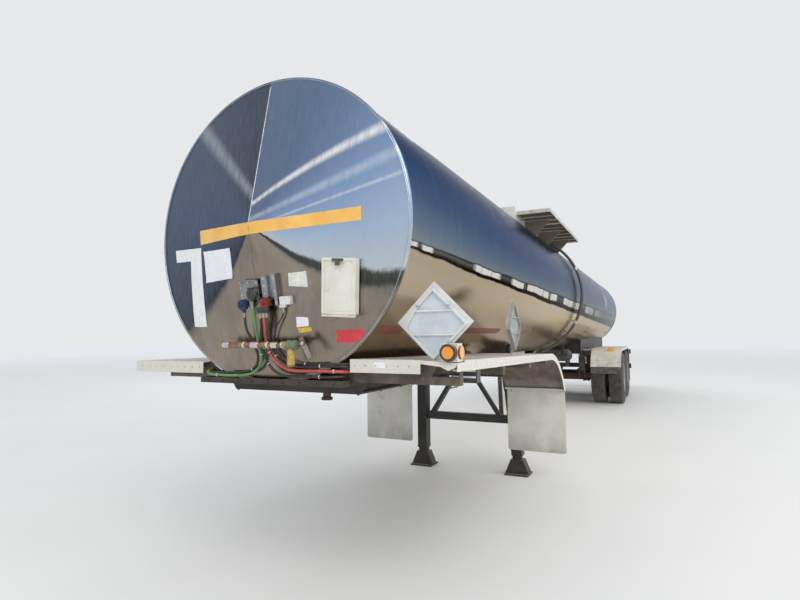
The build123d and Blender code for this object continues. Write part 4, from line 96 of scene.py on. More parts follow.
# ---------------- materials
class Surface:
    """A node material that is put together step by step. Places are in metres, in the row frame."""

    def __init__(self, name):
        self.material = bpy.data.materials.new(name)
        self.material.use_nodes = True
        self.tree = self.material.node_tree
        self.shader = self.tree.nodes["Principled BSDF"]
        self.place = self.add("ShaderNodeTexCoord").outputs["Object"]
        split = self.add("ShaderNodeSeparateXYZ")
        self.tree.links.new(self.place, split.inputs[0])
        self.x, self.y, self.z = split.outputs
        facing = self.add("ShaderNodeNewGeometry")
        split = self.add("ShaderNodeSeparateXYZ")
        self.tree.links.new(facing.outputs["Normal"], split.inputs[0])
        self.up = split.outputs[2]

    def add(self, kind):
        return self.tree.nodes.new(kind)

    def put(self, socket, value):
        if isinstance(value, bpy.types.NodeSocket):
            self.tree.links.new(value, socket)
        elif isinstance(value, tuple) and len(value) == 3 and socket.type == "RGBA":
            socket.default_value = (*value, 1)
        else:
            socket.default_value = value

    def noise(self, scale, detail=5.0, rough=0.6, stretch=None, distort=0.0):
        node = self.add("ShaderNodeTexNoise")
        at = self.place
        if stretch:
            turn = self.add("ShaderNodeMapping")
            turn.inputs["Scale"].default_value = stretch
            self.put(turn.inputs["Vector"], at)
            at = turn.outputs[0]
        self.put(node.inputs["Vector"], at)
        for socket, value in (("Scale", scale), ("Detail", detail), ("Roughness", rough),
                              ("Distortion", distort)):
            node.inputs[socket].default_value = value
        return node.outputs[0]

    def wave(self, direction, scale, distort=0.0):
        node = self.add("ShaderNodeTexWave")
        node.wave_type = "BANDS"
        node.bands_direction = direction
        self.put(node.inputs["Vector"], self.place)
        node.inputs["Scale"].default_value = scale
        node.inputs["Distortion"].default_value = distort
        return node.outputs["Fac"]

    def span(self, value, low, high, start=0.0, end=1.0, soft=False):
        node = self.add("ShaderNodeMapRange")
        node.interpolation_type = "SMOOTHSTEP" if soft else "LINEAR"
        for socket, number in zip(node.inputs, (value, low, high, start, end)):
            self.put(socket, number)
        return node.outputs[0]

    def maths(self, kind, first, second):
        node = self.add("ShaderNodeMath")
        node.operation = kind
        self.put(node.inputs[0], first)
        self.put(node.inputs[1], second)
        return node.outputs[0]

    def times(self, first, second):
        return self.maths("MULTIPLY", first, second)

    def plus(self, first, second):
        return self.maths("ADD", first, second)

    def size(self, value):
        return self.maths("ABSOLUTE", value, 0.0)

    def reach(self, first, second):
        """How far a place is from the middle, from two of its measures."""
        squares = self.plus(self.maths("POWER", first, 2.0), self.maths("POWER", second, 2.0))
        return self.maths("POWER", squares, 0.5)

    def ramp(self, value, stops):
        node = self.add("ShaderNodeValToRGB")
        marks = node.color_ramp.elements
        while len(marks) < len(stops):
            marks.new(0.5)
        for mark, (at, tint) in zip(marks, stops):
            mark.position = at
            mark.color = (*tint, 1)
        self.put(node.inputs[0], value)
        return node.outputs[0]

    def blend(self, share, first, second, kind="MIX"):
        node = self.add("ShaderNodeMix")
        node.data_type = "RGBA"
        node.blend_type = kind
        self.put(node.inputs[0], share)
        self.put(node.inputs[6], first)
        self.put(node.inputs[7], second)
        return node.outputs[2]

    def bump(self, height, distance, strength=1.0):
        node = self.add("ShaderNodeBump")
        node.inputs["Distance"].default_value = distance
        node.inputs["Strength"].default_value = strength
        self.put(node.inputs["Height"], height)
        if self.shader.inputs["Normal"].links:
            self.put(node.inputs["Normal"], self.shader.inputs["Normal"].links[0].from_socket)
        self.put(self.shader.inputs["Normal"], node.outputs[0])

    def done(self, colour, roughness, metallic=0.0, **others):
        self.put(self.shader.inputs["Base Color"], colour)
        self.put(self.shader.inputs["Roughness"], roughness)
        self.put(self.shader.inputs["Metallic"], metallic)
        for name, value in others.items():
            self.put(self.shader.inputs[name.replace("_", " ")], value)
        return self.material


def worn(name, light, dark, dirt, rough=(0.4, 0.6), metallic=0.0, patches=6.0, grain=90.0,
         stretch=None, dirt_share=0.5, dirt_low=None, dust=0.0, grain_depth=0.0006,
         underside_shade=None, shade=None, side_shade=None, **others):
    """Painted or bare material with patches, grain, dirt and dust lying on its upper faces; painted shade can
    darken faces that look down, places beside the middle under a height, and places behind a given x.
    """
    s = Surface(name)
    large = s.noise(patches, 6, 0.62)
    fine = s.noise(grain, 4, 0.65, stretch)
    colour = s.blend(s.span(large, 0.36, 0.64, soft=True), light, dark)
    colour = s.blend(s.span(fine, 0.42, 0.75, 0.0, 0.35), colour, dark)
    grime = s.span(s.noise(patches * 1.9, 9, 0.72, distort=0.4), 0.62 - 0.22 * dirt_share, 0.80, 0.0, 0.9)
    if dirt_low:
        height = s.span(s.z, dirt_low[0], dirt_low[1], 0.75, 0.0)
        grime = s.maths("MAXIMUM", grime, s.times(height, s.span(large, 0.3, 0.6)))
    colour = s.blend(grime, colour, dirt)
    if dust:
        lying = s.times(s.span(s.up, 0.35, 0.95, 0.0, dust), s.span(fine, 0.25, 0.6, 0.45, 1.0))
        colour = s.blend(lying, colour, (0.48, 0.42, 0.35))
    # Painted shade: a darker colour on faces that look down
    if underside_shade:
        colour = s.blend(s.span(s.up, -0.3, -0.8), colour, underside_shade)
    if shade:
        beside = s.times(s.span(s.size(s.y), shade[0], shade[0] + 0.01),
                       s.span(s.z, shade[1], shade[1] - 0.01))
        colour = s.blend(beside, colour, shade[2])
    # Painted shade: darker behind a given x, which takes in the placard holders on the sides
    if side_shade:
        colour = s.blend(s.span(s.x, side_shade[0], side_shade[0] - 0.02), colour, side_shade[1], "MULTIPLY")
    roughness = s.span(s.plus(large, grime), 0.3, 1.3, rough[0], min(1.0, rough[1] + 0.12))
    s.bump(fine, grain_depth)
    s.bump(s.noise(patches * 3, 6, 0.7), grain_depth * 2.2, 0.6)
    return s.done(colour, roughness, metallic, **others)


def jacket_metal():
    """Polished sheet with a painted reflection: blue sky above, a dark reflected line with pale reflected
    patches at eye height, tan ground below, and a painted glint.
    """
    s = Surface("jacket_metal")
    jag = s.noise(2.6, 8, 0.66, (0.6, 1.0, 1.0), 0.3)
    height = s.plus(s.z, s.span(jag, 0.3, 0.7, -0.011, 0.011))
    # The painted dark line of the reflection sinks toward the rear, and the painted band above it grows
    line = s.plus(s.times(s.x, 0.0212), 1.690)
    band = s.span(height, line, 1.872, 0.0, 0.1)
    along = s.plus(s.plus(s.span(height, 1.155, line, 0.0, 0.4), band),
                  s.span(height, 1.872, 2.839, 0.0, 0.5))
    # The ramp is the painted reflection: dark and tan ground at the bottom, the dark line and pale band at
    # eye height, blue sky at the top
    tone = s.ramp(along, [
        (0.0, (0.10, 0.08, 0.065)), (0.035, (0.26, 0.21, 0.155)), (0.085, (0.50, 0.41, 0.30)),
        (0.397, (0.54, 0.445, 0.33)), (0.403, (0.045, 0.041, 0.037)), (0.43, (0.06, 0.056, 0.052)),
        (0.47, (0.17, 0.17, 0.165)), (0.498, (0.07, 0.07, 0.07)), (0.503, (0.27, 0.31, 0.345)),
        (0.543, (0.19, 0.25, 0.33)), (0.62, (0.13, 0.18, 0.29)), (0.70, (0.10, 0.15, 0.27)),
        (0.79, (0.05, 0.088, 0.18)), (0.88, (0.075, 0.105, 0.18)), (1.0, (0.19, 0.21, 0.24)),
    ])
    # Painted reflection: a thin pale tan strip just under the dark line, fading out at the front
    tone = s.blend(s.times(s.span(along, 0.400, 0.396), s.span(s.x, 6.2, 3.0, 0.0, 0.6)), tone,
                   (0.86, 0.75, 0.58))
    # Painted reflection: lighter, greyer tones toward the rear
    tone = s.blend(s.span(s.x, 1.0, -6.4, 0.0, 0.45), tone,
                   s.blend(s.span(along, 0.40, 0.45), (0.50, 0.43, 0.34), (0.30, 0.37, 0.45)))
    # On the far side the painted blue reflection above the line gives way to grey
    far_side = s.times(s.span(s.y, 0.15, -0.6, 0.0, 0.55, True), s.span(along, 0.50, 0.51))
    tone = s.blend(far_side, tone, (0.37, 0.38, 0.39))
    # Painted reflection: pale patches in the band above the dark line, fading toward the rear
    bright = s.times(s.span(band, 0.030, 0.040), s.span(band, 0.095, 0.088))
    places = s.span(s.noise(1.1, 3, 0.5, (1.0, 0.02, 0.02)), 0.455, 0.475, 0.0, 0.9)
    places = s.times(places, s.span(s.x, -3.0, 1.2, 0.15, 1.0))
    panes = s.span(s.noise(9.0, 6, 0.7, (1.0, 0.02, 0.02)), 0.34, 0.46, 0.35, 1.0)
    tone = s.blend(s.times(s.times(bright, places), panes), tone, (0.92, 0.90, 0.84))
    # Painted glint: a pale vertical highlight near x = -3.6
    painted_glint = s.times(
        s.span(s.size(s.plus(s.x, 3.6)), 0.45, 0.0, 0.0, 0.45, True),
        s.times(s.span(s.z, 1.93, 2.05), s.span(s.z, 2.34, 2.18)))
    tone = s.blend(painted_glint, tone, (0.86, 0.92, 0.96))
    streak = s.noise(2.2, 8, 0.72, (7.0, 1.0, 1.0))
    tone = s.blend(s.span(streak, 0.45, 0.78, 0.0, 0.06), tone, (0.70, 0.70, 0.70))
    spots = s.span(s.noise(26, 8, 0.75), 0.62, 0.80, 0.0, 0.18)
    tone = s.blend(spots, tone, (0.22, 0.19, 0.16))
    grain = s.noise(60, 4, 0.6, (6, 1, 1))
    roughness = s.span(s.plus(s.noise(5, 6, 0.7), spots), 0.3, 1.2, 0.14, 0.34)
    s.bump(s.noise(1.3, 4, 0.55, (0.5, 1, 1), 0.3), 0.006, 0.3)
    s.bump(grain, 0.0002)
    # The specular tint takes the painted reflection tones, which keeps them deep where the side is seen at a
    # low angle
    edge = s.blend(s.span(s.x, 5.5, -4.0, 0.27, 0.14), tone, (1.0, 1.0, 1.0))
    return s.done(tone, roughness, 1.0, Specular_Tint=edge)


def head_metal(name):
    """Brushed cone with a painted reflection: sky tones above a curved edge, ground tones below it, and
    painted highlights as bright streaks.
    """
    s = Surface(name)
    out = s.maths("SUBTRACT", s.z, AXIS_Z)
    reach = s.reach(out, s.y)
    wide = s.size(s.y)
    # How far round each strip is from straight down, in radians
    turn = s.maths("ARCTAN2", wide, s.times(out, -1.0))
    wobble = s.span(s.noise(6.0, 7, 0.68, distort=0.4), 0.25, 0.75, -0.045, 0.045)
    left = s.span(s.y, -0.014, -0.010)
    edge = s.plus(s.span(left, 0.0, 1.0, 0.66, 0.90),
                 s.times(reach, s.span(left, 0.0, 1.0, 0.33, 0.42)))
    past = s.span(s.plus(s.maths("SUBTRACT", turn, edge), wobble), -1.2, 2.4)
    # Painted reflection of the ground below the curved edge
    ground = s.ramp(s.noise(2.6, 9, 0.66, (1, 1.6, 0.8), 0.6), [
        (0.30, (0.185, 0.155, 0.125)), (0.48, (0.27, 0.225, 0.175)), (0.70, (0.41, 0.35, 0.275)),
    ])
    # Painted reflection: ground tones, a dark line at the edge, then sky tones; this half of the seam is
    # painted brighter
    brighter_reflection_side = s.ramp(past, [
        (0.0, (0.27, 0.22, 0.17)), (0.27, (0.25, 0.215, 0.175)), (0.295, (0.15, 0.145, 0.13)),
        (0.305, (0.040, 0.046, 0.036)), (0.326, (0.052, 0.058, 0.048)), (0.335, (0.56, 0.63, 0.68)),
        (0.42, (0.43, 0.55, 0.72)), (0.54, (0.26, 0.385, 0.62)), (0.66, (0.17, 0.245, 0.41)),
        (0.75, (0.135, 0.195, 0.315)), (0.97, (0.125, 0.18, 0.28)),
    ])
    # The same painted reflection, darker, for the other half of the seam
    darker_reflection_side = s.ramp(past, [
        (0.0, (0.27, 0.22, 0.17)), (0.27, (0.25, 0.215, 0.175)), (0.300, (0.19, 0.17, 0.145)),
        (0.315, (0.028, 0.032, 0.040)), (0.345, (0.040, 0.055, 0.086)), (0.45, (0.044, 0.067, 0.118)),
        (0.58, (0.052, 0.085, 0.160)), (0.76, (0.068, 0.100, 0.165)), (0.97, (0.060, 0.076, 0.110)),
    ])
    tone = s.blend(left, darker_reflection_side, brighter_reflection_side)
    tone = s.blend(s.span(past, 0.300, 0.285, 0.0, 0.75), tone, ground)
    # Painted highlights and reflections as streaks: side of the seam, height at the seam, slope, curve, half
    # width, strength, tint
    for part, start, slope, curve, half, strength, tint in (
        (1, 2.113, 0.62, -0.19, 0.040, 0.95, (1.0, 1.0, 1.0)),
        (1, 2.024, 0.38, 0.0, 0.042, 0.42, (0.80, 0.88, 0.96)),
        (1, 1.978, 0.286, 0.0, 0.014, 0.45, (0.92, 0.96, 1.0)),
        (0, 2.150, 0.965, 0.0, 0.100, 0.60, (0.44, 0.48, 0.53)),
    ):
        middle = s.plus(s.times(wide, slope), s.times(s.maths("POWER", wide, 2.0), curve))
        gap = s.size(s.maths("SUBTRACT", s.z, s.plus(middle, start)))
        spread = s.span(wide, 0.0, 0.7, 0.55, 1.25)
        share = s.span(s.maths("DIVIDE", gap, spread), half, 0.0, 0.0, strength, True)
        share = s.times(share, left if part else s.maths("SUBTRACT", 1.0, left))
        share = s.times(share, s.span(s.noise(8, 6, 0.7, (1, 5.0, 0.6)), 0.28, 0.55, 0.45, 1.0))
        tone = s.blend(share, tone, tint)
    brush = s.noise(9.0, 6, 0.72, (1, 16.0, 1.2))
    hair = s.noise(34.0, 5, 0.75, (1, 11.0, 1.0), 0.2)
    tone = s.blend(s.span(brush, 0.40, 0.78, 0.0, 0.12), tone, (0.66, 0.70, 0.75))
    tone = s.blend(s.span(hair, 0.42, 0.70, 0.0, 0.14), tone, (0.10, 0.105, 0.12))
    dusty = s.times(s.span(s.z, 1.60, 1.20, 0.0, 0.30), s.span(s.noise(11, 9, 0.75), 0.30, 0.66))
    tone = s.blend(dusty, tone, (0.30, 0.25, 0.20))
    spots = s.span(s.noise(48, 8, 0.8), 0.64, 0.76, 0.0, 0.35)
    tone = s.blend(spots, tone, (0.15, 0.13, 0.11))
    roughness = s.span(s.plus(s.times(brush, 0.8), dusty), 0.25, 1.3, 0.20, 0.45)
    s.bump(s.noise(3.0, 4, 0.5), 0.004, 0.4)
    s.bump(hair, 0.0002)
    return s.done(tone, roughness, 1.0)


def stainless(name, tint=(0.52, 0.52, 0.51)):
    s = Surface(name)
    large = s.noise(8, 6, 0.65)
    fine = s.noise(120, 4, 0.65, (1, 1, 5))
    colour = s.blend(s.span(large, 0.35, 0.68), tint, tuple(0.62 * v for v in tint))
    colour = s.blend(s.span(s.noise(22, 8, 0.75), 0.56, 0.75, 0.0, 0.6), colour, (0.20, 0.165, 0.13))
    colour = s.blend(s.span(fine, 0.45, 0.75, 0.0, 0.3), colour, (0.80, 0.79, 0.77))
    s.bump(fine, 0.0004)
    s.bump(s.noise(18, 4, 0.6), 0.0012, 0.5)
    return s.done(colour, s.span(large, 0.3, 0.7, 0.22, 0.48), 0.95)


def tyre_rubber(name="tyre_rubber"):
    s = Surface(name)
    large = s.noise(7, 7, 0.7)
    fine = s.noise(160, 4, 0.7)
    colour = s.blend(s.span(large, 0.34, 0.66, soft=True), (0.040, 0.039, 0.038), (0.105, 0.098, 0.088))
    colour = s.blend(s.span(s.noise(30, 9, 0.78), 0.50, 0.74, 0.0, 0.75), colour, (0.21, 0.185, 0.15))
    colour = s.blend(s.span(s.z, 0.22, 0.0, 0.0, 0.6), colour, (0.25, 0.215, 0.17))
    s.bump(fine, 0.0008)
    s.bump(s.noise(40, 5, 0.7), 0.0012, 0.6)
    return s.done(colour, s.span(large, 0.3, 0.7, 0.66, 0.92))


def hose_rubber(name, light, dark, sheen=0.38):
    s = Surface(name)
    large = s.noise(16, 6, 0.7)
    weave = s.wave("DIAGONAL", 95, 1.6)
    colour = s.blend(s.span(large, 0.35, 0.65), light, dark)
    colour = s.blend(s.span(s.noise(70, 8, 0.75), 0.52, 0.72, 0.0, 0.5), colour, (0.25, 0.22, 0.18))
    s.bump(weave, 0.00022)
    s.bump(s.noise(240, 3, 0.6), 0.0003)
    return s.done(colour, s.span(large, 0.3, 0.7, sheen, sheen + 0.22))


def lens_plastic(name, tint, deep, glow):
    s = Surface(name)
    grid = s.times(s.wave("Y", 62), s.wave("Z", 62))
    colour = s.blend(s.span(grid, 0.05, 0.7), deep, tint)
    colour = s.blend(s.span(s.noise(60, 8, 0.75), 0.55, 0.75, 0.0, 0.4), colour, (0.42, 0.34, 0.25))
    s.bump(grid, 0.0010)
    return s.done(colour, s.span(s.noise(40, 5, 0.7), 0.3, 0.7, 0.14, 0.34), Coat_Weight=0.6,
                  Emission_Color=colour, Emission_Strength=glow)


def fender_metal(name, cream):
    """Aluminium sheet: chalky deck, painted edges, and painted shade in brown underneath."""
    s = Surface(name)
    large = s.noise(3.4, 8, 0.7, distort=0.5)
    fine = s.noise(46, 7, 0.75)
    top = s.blend(s.span(large, 0.36, 0.64, soft=True), (0.60, 0.575, 0.54), (0.34, 0.315, 0.285))
    top = s.blend(s.span(fine, 0.50, 0.66, 0.0, 0.8), top, (0.72, 0.71, 0.69))
    top = s.blend(s.span(s.noise(19, 9, 0.78), 0.58, 0.74, 0.0, 0.6), top, (0.28, 0.24, 0.19))
    flank = s.blend(s.span(fine, 0.45, 0.72, 0.0, 0.35), cream, tuple(0.6 * v for v in cream))
    flank = s.blend(s.span(s.noise(12, 9, 0.75), 0.60, 0.74, 0.0, 0.5), flank, (0.30, 0.26, 0.21))
    # Painted shade: brown on the faces that look down
    low = s.blend(s.span(s.noise(9, 8, 0.75), 0.4, 0.65), (0.105, 0.078, 0.055), (0.205, 0.16, 0.12))
    colour = s.blend(s.span(s.up, 0.45, 0.8), flank, top)
    colour = s.blend(s.span(s.up, -0.2, -0.7), colour, low)
    s.bump(fine, 0.0007)
    s.bump(s.noise(6, 3, 0.5), 0.005, 0.35)
    return s.done(colour, s.span(fine, 0.3, 0.7, 0.42, 0.72), s.span(s.up, 0.4, 0.8, 0.0, 0.45))


MUD = (0.24, 0.195, 0.15)
RUST = (0.19, 0.085, 0.04)
CREAM = (0.68, 0.66, 0.58)
JACKET = jacket_metal()
FRONT_HEAD = head_metal("front_head_metal")
REAR_HEAD = head_metal("rear_head_metal")
STAINLESS = stainless("stainless")
BRIGHT = stainless("bright_weld", (0.70, 0.70, 0.70))
GALVANISED = stainless("galvanised", (0.33, 0.345, 0.36))
FENDER = fender_metal("front_fender_metal", CREAM)
# Its underside colour is painted shade
REAR_FENDER = worn("rear_fender_paint", (0.80, 0.785, 0.72), (0.66, 0.635, 0.57), MUD, (0.35, 0.6),
                   dirt_low=(0.72, 1.05), dust=0.45, underside_shade=(0.11, 0.09, 0.07))
ALUMINIUM = worn("aluminium", (0.55, 0.55, 0.54), (0.38, 0.37, 0.35), MUD, (0.36, 0.56), 0.85,
                 patches=9, stretch=(1, 1, 4), dust=0.4)
# Its underside colour and its shade colour are painted shade
DAM = worn("dam_sheet", (0.74, 0.73, 0.68), (0.60, 0.585, 0.53), (0.27, 0.22, 0.17), (0.4, 0.6), 0.15,
           patches=5, dust=0.3, dirt_share=0.2, underside_shade=(0.10, 0.080, 0.055),
           shade=(0.384, 2.853, (0.20, 0.165, 0.125)))
# Its underside colour is painted shade
GRATING = worn("walkway_metal", (0.66, 0.645, 0.60), (0.48, 0.455, 0.40), (0.21, 0.165, 0.12), (0.45, 0.65),
               0.3, patches=12, dust=0.3, underside_shade=(0.12, 0.092, 0.062))
TREAD = worn("walkway_bars", (0.15, 0.12, 0.085), (0.10, 0.08, 0.055), (0.07, 0.055, 0.04), (0.5, 0.7), 0.2,
             patches=12)
WHEEL = worn("wheel_metal", (0.50, 0.49, 0.47), (0.33, 0.315, 0.29), MUD, (0.35, 0.6), 0.8, patches=14,
             dirt_low=(0.15, 0.75), dirt_share=0.9)
# The side colours of the holder and panel below are painted shade on the side placard holders
HOLDER = worn("placard_frame", (0.74, 0.76, 0.76), (0.62, 0.64, 0.64), (0.38, 0.35, 0.30), (0.38, 0.6), 0.1,
              patches=12, dirt_share=0.1, grain=140, side_shade=(5.6, (0.50, 0.49, 0.47)))
PANEL = worn("placard_panel", (0.60, 0.675, 0.72), (0.52, 0.585, 0.63), (0.40, 0.40, 0.38), (0.3, 0.5),
             patches=10, stretch=(1, 1, 6), grain=70, dirt_share=0.1, side_shade=(5.6, (0.52, 0.50, 0.47)))
BLACK_STEEL = worn("frame_paint", (0.016, 0.0155, 0.015), (0.030, 0.028, 0.026), (0.10, 0.065, 0.045),
                   (0.42, 0.66), patches=7, dirt_share=0.2, dust=0.45, grain_depth=0.0009,
                   dirt_low=(0.0, 0.12))
BRACKET = worn("bracket_metal", (0.17, 0.145, 0.105), (0.10, 0.083, 0.062), (0.055, 0.045, 0.035),
               (0.45, 0.65), 0.35, patches=8, dirt_share=0.5, stretch=(1, 4, 1), grain=60)
# Its underside colour is painted shade
COUPLER = worn("coupler_paint", (0.050, 0.043, 0.036), (0.028, 0.025, 0.022), (0.12, 0.085, 0.06),
               (0.48, 0.72), patches=5, dirt_share=0.5, dust=0.5, grain_depth=0.0012,
               underside_shade=(0.030, 0.026, 0.022))
CAST = worn("cast_iron", (0.085, 0.075, 0.066), (0.055, 0.05, 0.046), RUST, (0.5, 0.75), 0.45, patches=14,
            dirt_share=0.9, dust=0.5, grain_depth=0.0015)
BLACK_PAINT = worn("black_paint", (0.022, 0.022, 0.022), (0.045, 0.043, 0.04), MUD, (0.28, 0.5), patches=11,
                   dirt_share=0.5, dust=0.5)
CREAM_PAINT = worn("cream_paint", (0.76, 0.745, 0.66), (0.68, 0.66, 0.575), (0.40, 0.35, 0.28), (0.34, 0.55),
                   patches=7, grain=150, dirt_share=0.15, dust=0.2)
TERMINAL = worn("terminal_plastic", (0.78, 0.78, 0.76), (0.64, 0.63, 0.60), (0.36, 0.32, 0.27), (0.35, 0.5),
                patches=30, grain=300, dirt_share=0.5)
FLAP = worn("flap_rubber", (0.72, 0.70, 0.64), (0.58, 0.565, 0.51), (0.34, 0.32, 0.28), (0.5, 0.75),
            patches=2.5, stretch=(1, 5, 0.4), grain=18, dirt_low=(0.28, 0.48), dirt_share=0.1)
RUBBER = worn("sheet_rubber", (0.035, 0.035, 0.034), (0.065, 0.062, 0.058), MUD, (0.55, 0.8), patches=8,
              dirt_low=(0.28, 0.6), dirt_share=0.8)
DRAIN = hose_rubber("drain_rubber", (0.045, 0.045, 0.045), (0.085, 0.08, 0.075))
BLUE = worn("blue_anodised", (0.022, 0.060, 0.17), (0.016, 0.036, 0.09), (0.12, 0.11, 0.10),
            (0.26, 0.45), 0.5, patches=38, grain=220, dirt_share=0.6)
RED = worn("red_anodised", (0.42, 0.035, 0.028), (0.21, 0.026, 0.022), (0.16, 0.11, 0.09), (0.28, 0.48), 0.5,
           patches=38, grain=220, dirt_share=0.8)
BRASS = worn("brass", (0.56, 0.40, 0.17), (0.33, 0.24, 0.12), (0.12, 0.20, 0.16), (0.3, 0.5), 0.95,
             patches=26, grain=200, dirt_share=1.0)
COPPER = worn("copper", (0.50, 0.235, 0.125), (0.29, 0.145, 0.09), (0.10, 0.16, 0.13), (0.3, 0.5), 0.95,
              patches=34, grain=200, dirt_share=0.8)
PATINA = worn("green_patina", (0.10, 0.27, 0.20), (0.16, 0.20, 0.13), (0.30, 0.24, 0.13), (0.5, 0.75), 0.35,
              patches=40, grain=220, dirt_share=1.0)
NICKEL = stainless("nickel", (0.66, 0.66, 0.65))
SEALANT = worn("white_sealant", (0.74, 0.73, 0.70), (0.58, 0.56, 0.52), MUD, (0.6, 0.8),
               patches=60, grain=300)
WRAP = worn("yellow_wrap", (0.66, 0.46, 0.075), (0.46, 0.32, 0.07), (0.20, 0.155, 0.09), (0.6, 0.85),
            patches=45, grain=420, dirt_share=0.9, grain_depth=0.0009)
GREY_GRIP = worn("grey_grip", (0.30, 0.30, 0.295), (0.20, 0.20, 0.195), MUD, (0.45, 0.65),
                 patches=40, grain=260)
AMBER = lens_plastic("amber_plastic", (1.0, 0.43, 0.02), (0.62, 0.19, 0.01), 0.22)
RED_LENS = lens_plastic("red_plastic", (0.62, 0.03, 0.02), (0.24, 0.01, 0.01), 0.04)
TYRE = tyre_rubber()
HOSE_BLACK = hose_rubber("hose_black", (0.020, 0.020, 0.021), (0.040, 0.039, 0.038))
HOSE_GREEN = hose_rubber("hose_green", (0.155, 0.33, 0.085), (0.10, 0.21, 0.065))
HOSE_RED = hose_rubber("hose_red", (0.64, 0.105, 0.080), (0.44, 0.070, 0.055))
CABLE = hose_rubber("cable_black", (0.028, 0.028, 0.028), (0.05, 0.048, 0.045))
FERRULE = stainless("ferrule_metal", (0.46, 0.43, 0.36))
WHITE_TAPE = worn("white_tape", (0.84, 0.86, 0.86), (0.76, 0.78, 0.78), (0.55, 0.52, 0.47), (0.4, 0.6),
                  patches=24, grain=180, dirt_share=0.1)
PAPER = worn("paper_card", (0.85, 0.85, 0.90), (0.79, 0.79, 0.84), (0.55, 0.53, 0.52), (0.55, 0.75),
             patches=16, grain=240, dirt_share=0.05)
ORANGE = worn("orange_sheet", (0.90, 0.54, 0.14), (0.80, 0.44, 0.10), (0.50, 0.27, 0.10), (0.32, 0.5),
              patches=9, grain=120, dirt_share=0.15)
YELLOW = worn("yellow_sheet", (0.80, 0.56, 0.05), (0.62, 0.42, 0.05), (0.34, 0.26, 0.12), (0.4, 0.6),
              patches=50, grain=260)
RED_SHEET = worn("red_sheet", (0.70, 0.040, 0.065), (0.54, 0.035, 0.05), (0.38, 0.16, 0.14), (0.3, 0.5),
                 patches=30, grain=260, dirt_share=0.2)
RED_TAPE = worn("red_tape", (0.28, 0.035, 0.028), (0.17, 0.028, 0.022), (0.20, 0.13, 0.09), (0.3, 0.5),
                patches=14, grain=90, dirt_share=0.9)
DARK_METAL = worn("dark_latch", (0.085, 0.082, 0.078), (0.14, 0.13, 0.12), RUST, (0.35, 0.6), 0.6,
                  patches=40, grain=260)

NODE_LOOKS = (
    (JACKET, "tank_barrel"), (FRONT_HEAD, "front_head end_rims"), (REAR_HEAD, "rear_head"),
    (STAINLESS, "manway_collar manlid top_fittings hose_clips discharge_pipe"),
    (GALVANISED, "air_bracket"), (DAM, "spill_dam"), (GRATING, "walkways"),
    (FENDER, "front_fender_left front_fender_right"), (HOLDER, "placard_holders"),
    (REAR_FENDER, "rear_fenders"), (ALUMINIUM, "rear_fender_arms ladder"), (DRAIN, "drain_hose"),
    (RUBBER, "rear_mudflaps"), (COUPLER, "upper_coupler"), (BRACKET, "front_fender_brackets"),
    (BLACK_STEEL, "landing_legs leg_braces rear_subframe reservoir_brackets rear_bumper"),
    (CAST, "kingpin leg_crank leaf_springs spring_clamps axles"), (FLAP, "front_mudflaps"),
    (CREAM_PAINT, "marker_lamp_housing document_box document_box_lid"),
    (TERMINAL, "terminal_box"), (AMBER, "marker_lenses"), (RED_LENS, "tail_lamps"),
    (BLACK_PAINT, "fender_box spring_hangers air_reservoir"),
    (BLUE, "service_coupling"), (RED, "emergency_coupling"), (COPPER, "front_pipe"),
    (WHEEL, "wheels_fore_left wheels_fore_right wheels_aft_left wheels_aft_right"),
)
for look, node_names in NODE_LOOKS:
    for node_name in node_names.split():
        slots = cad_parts[node_name].data.materials
        if len(slots) == 0:
            slots.append(look)
        for place in range(len(slots)):
            slots[place] = look


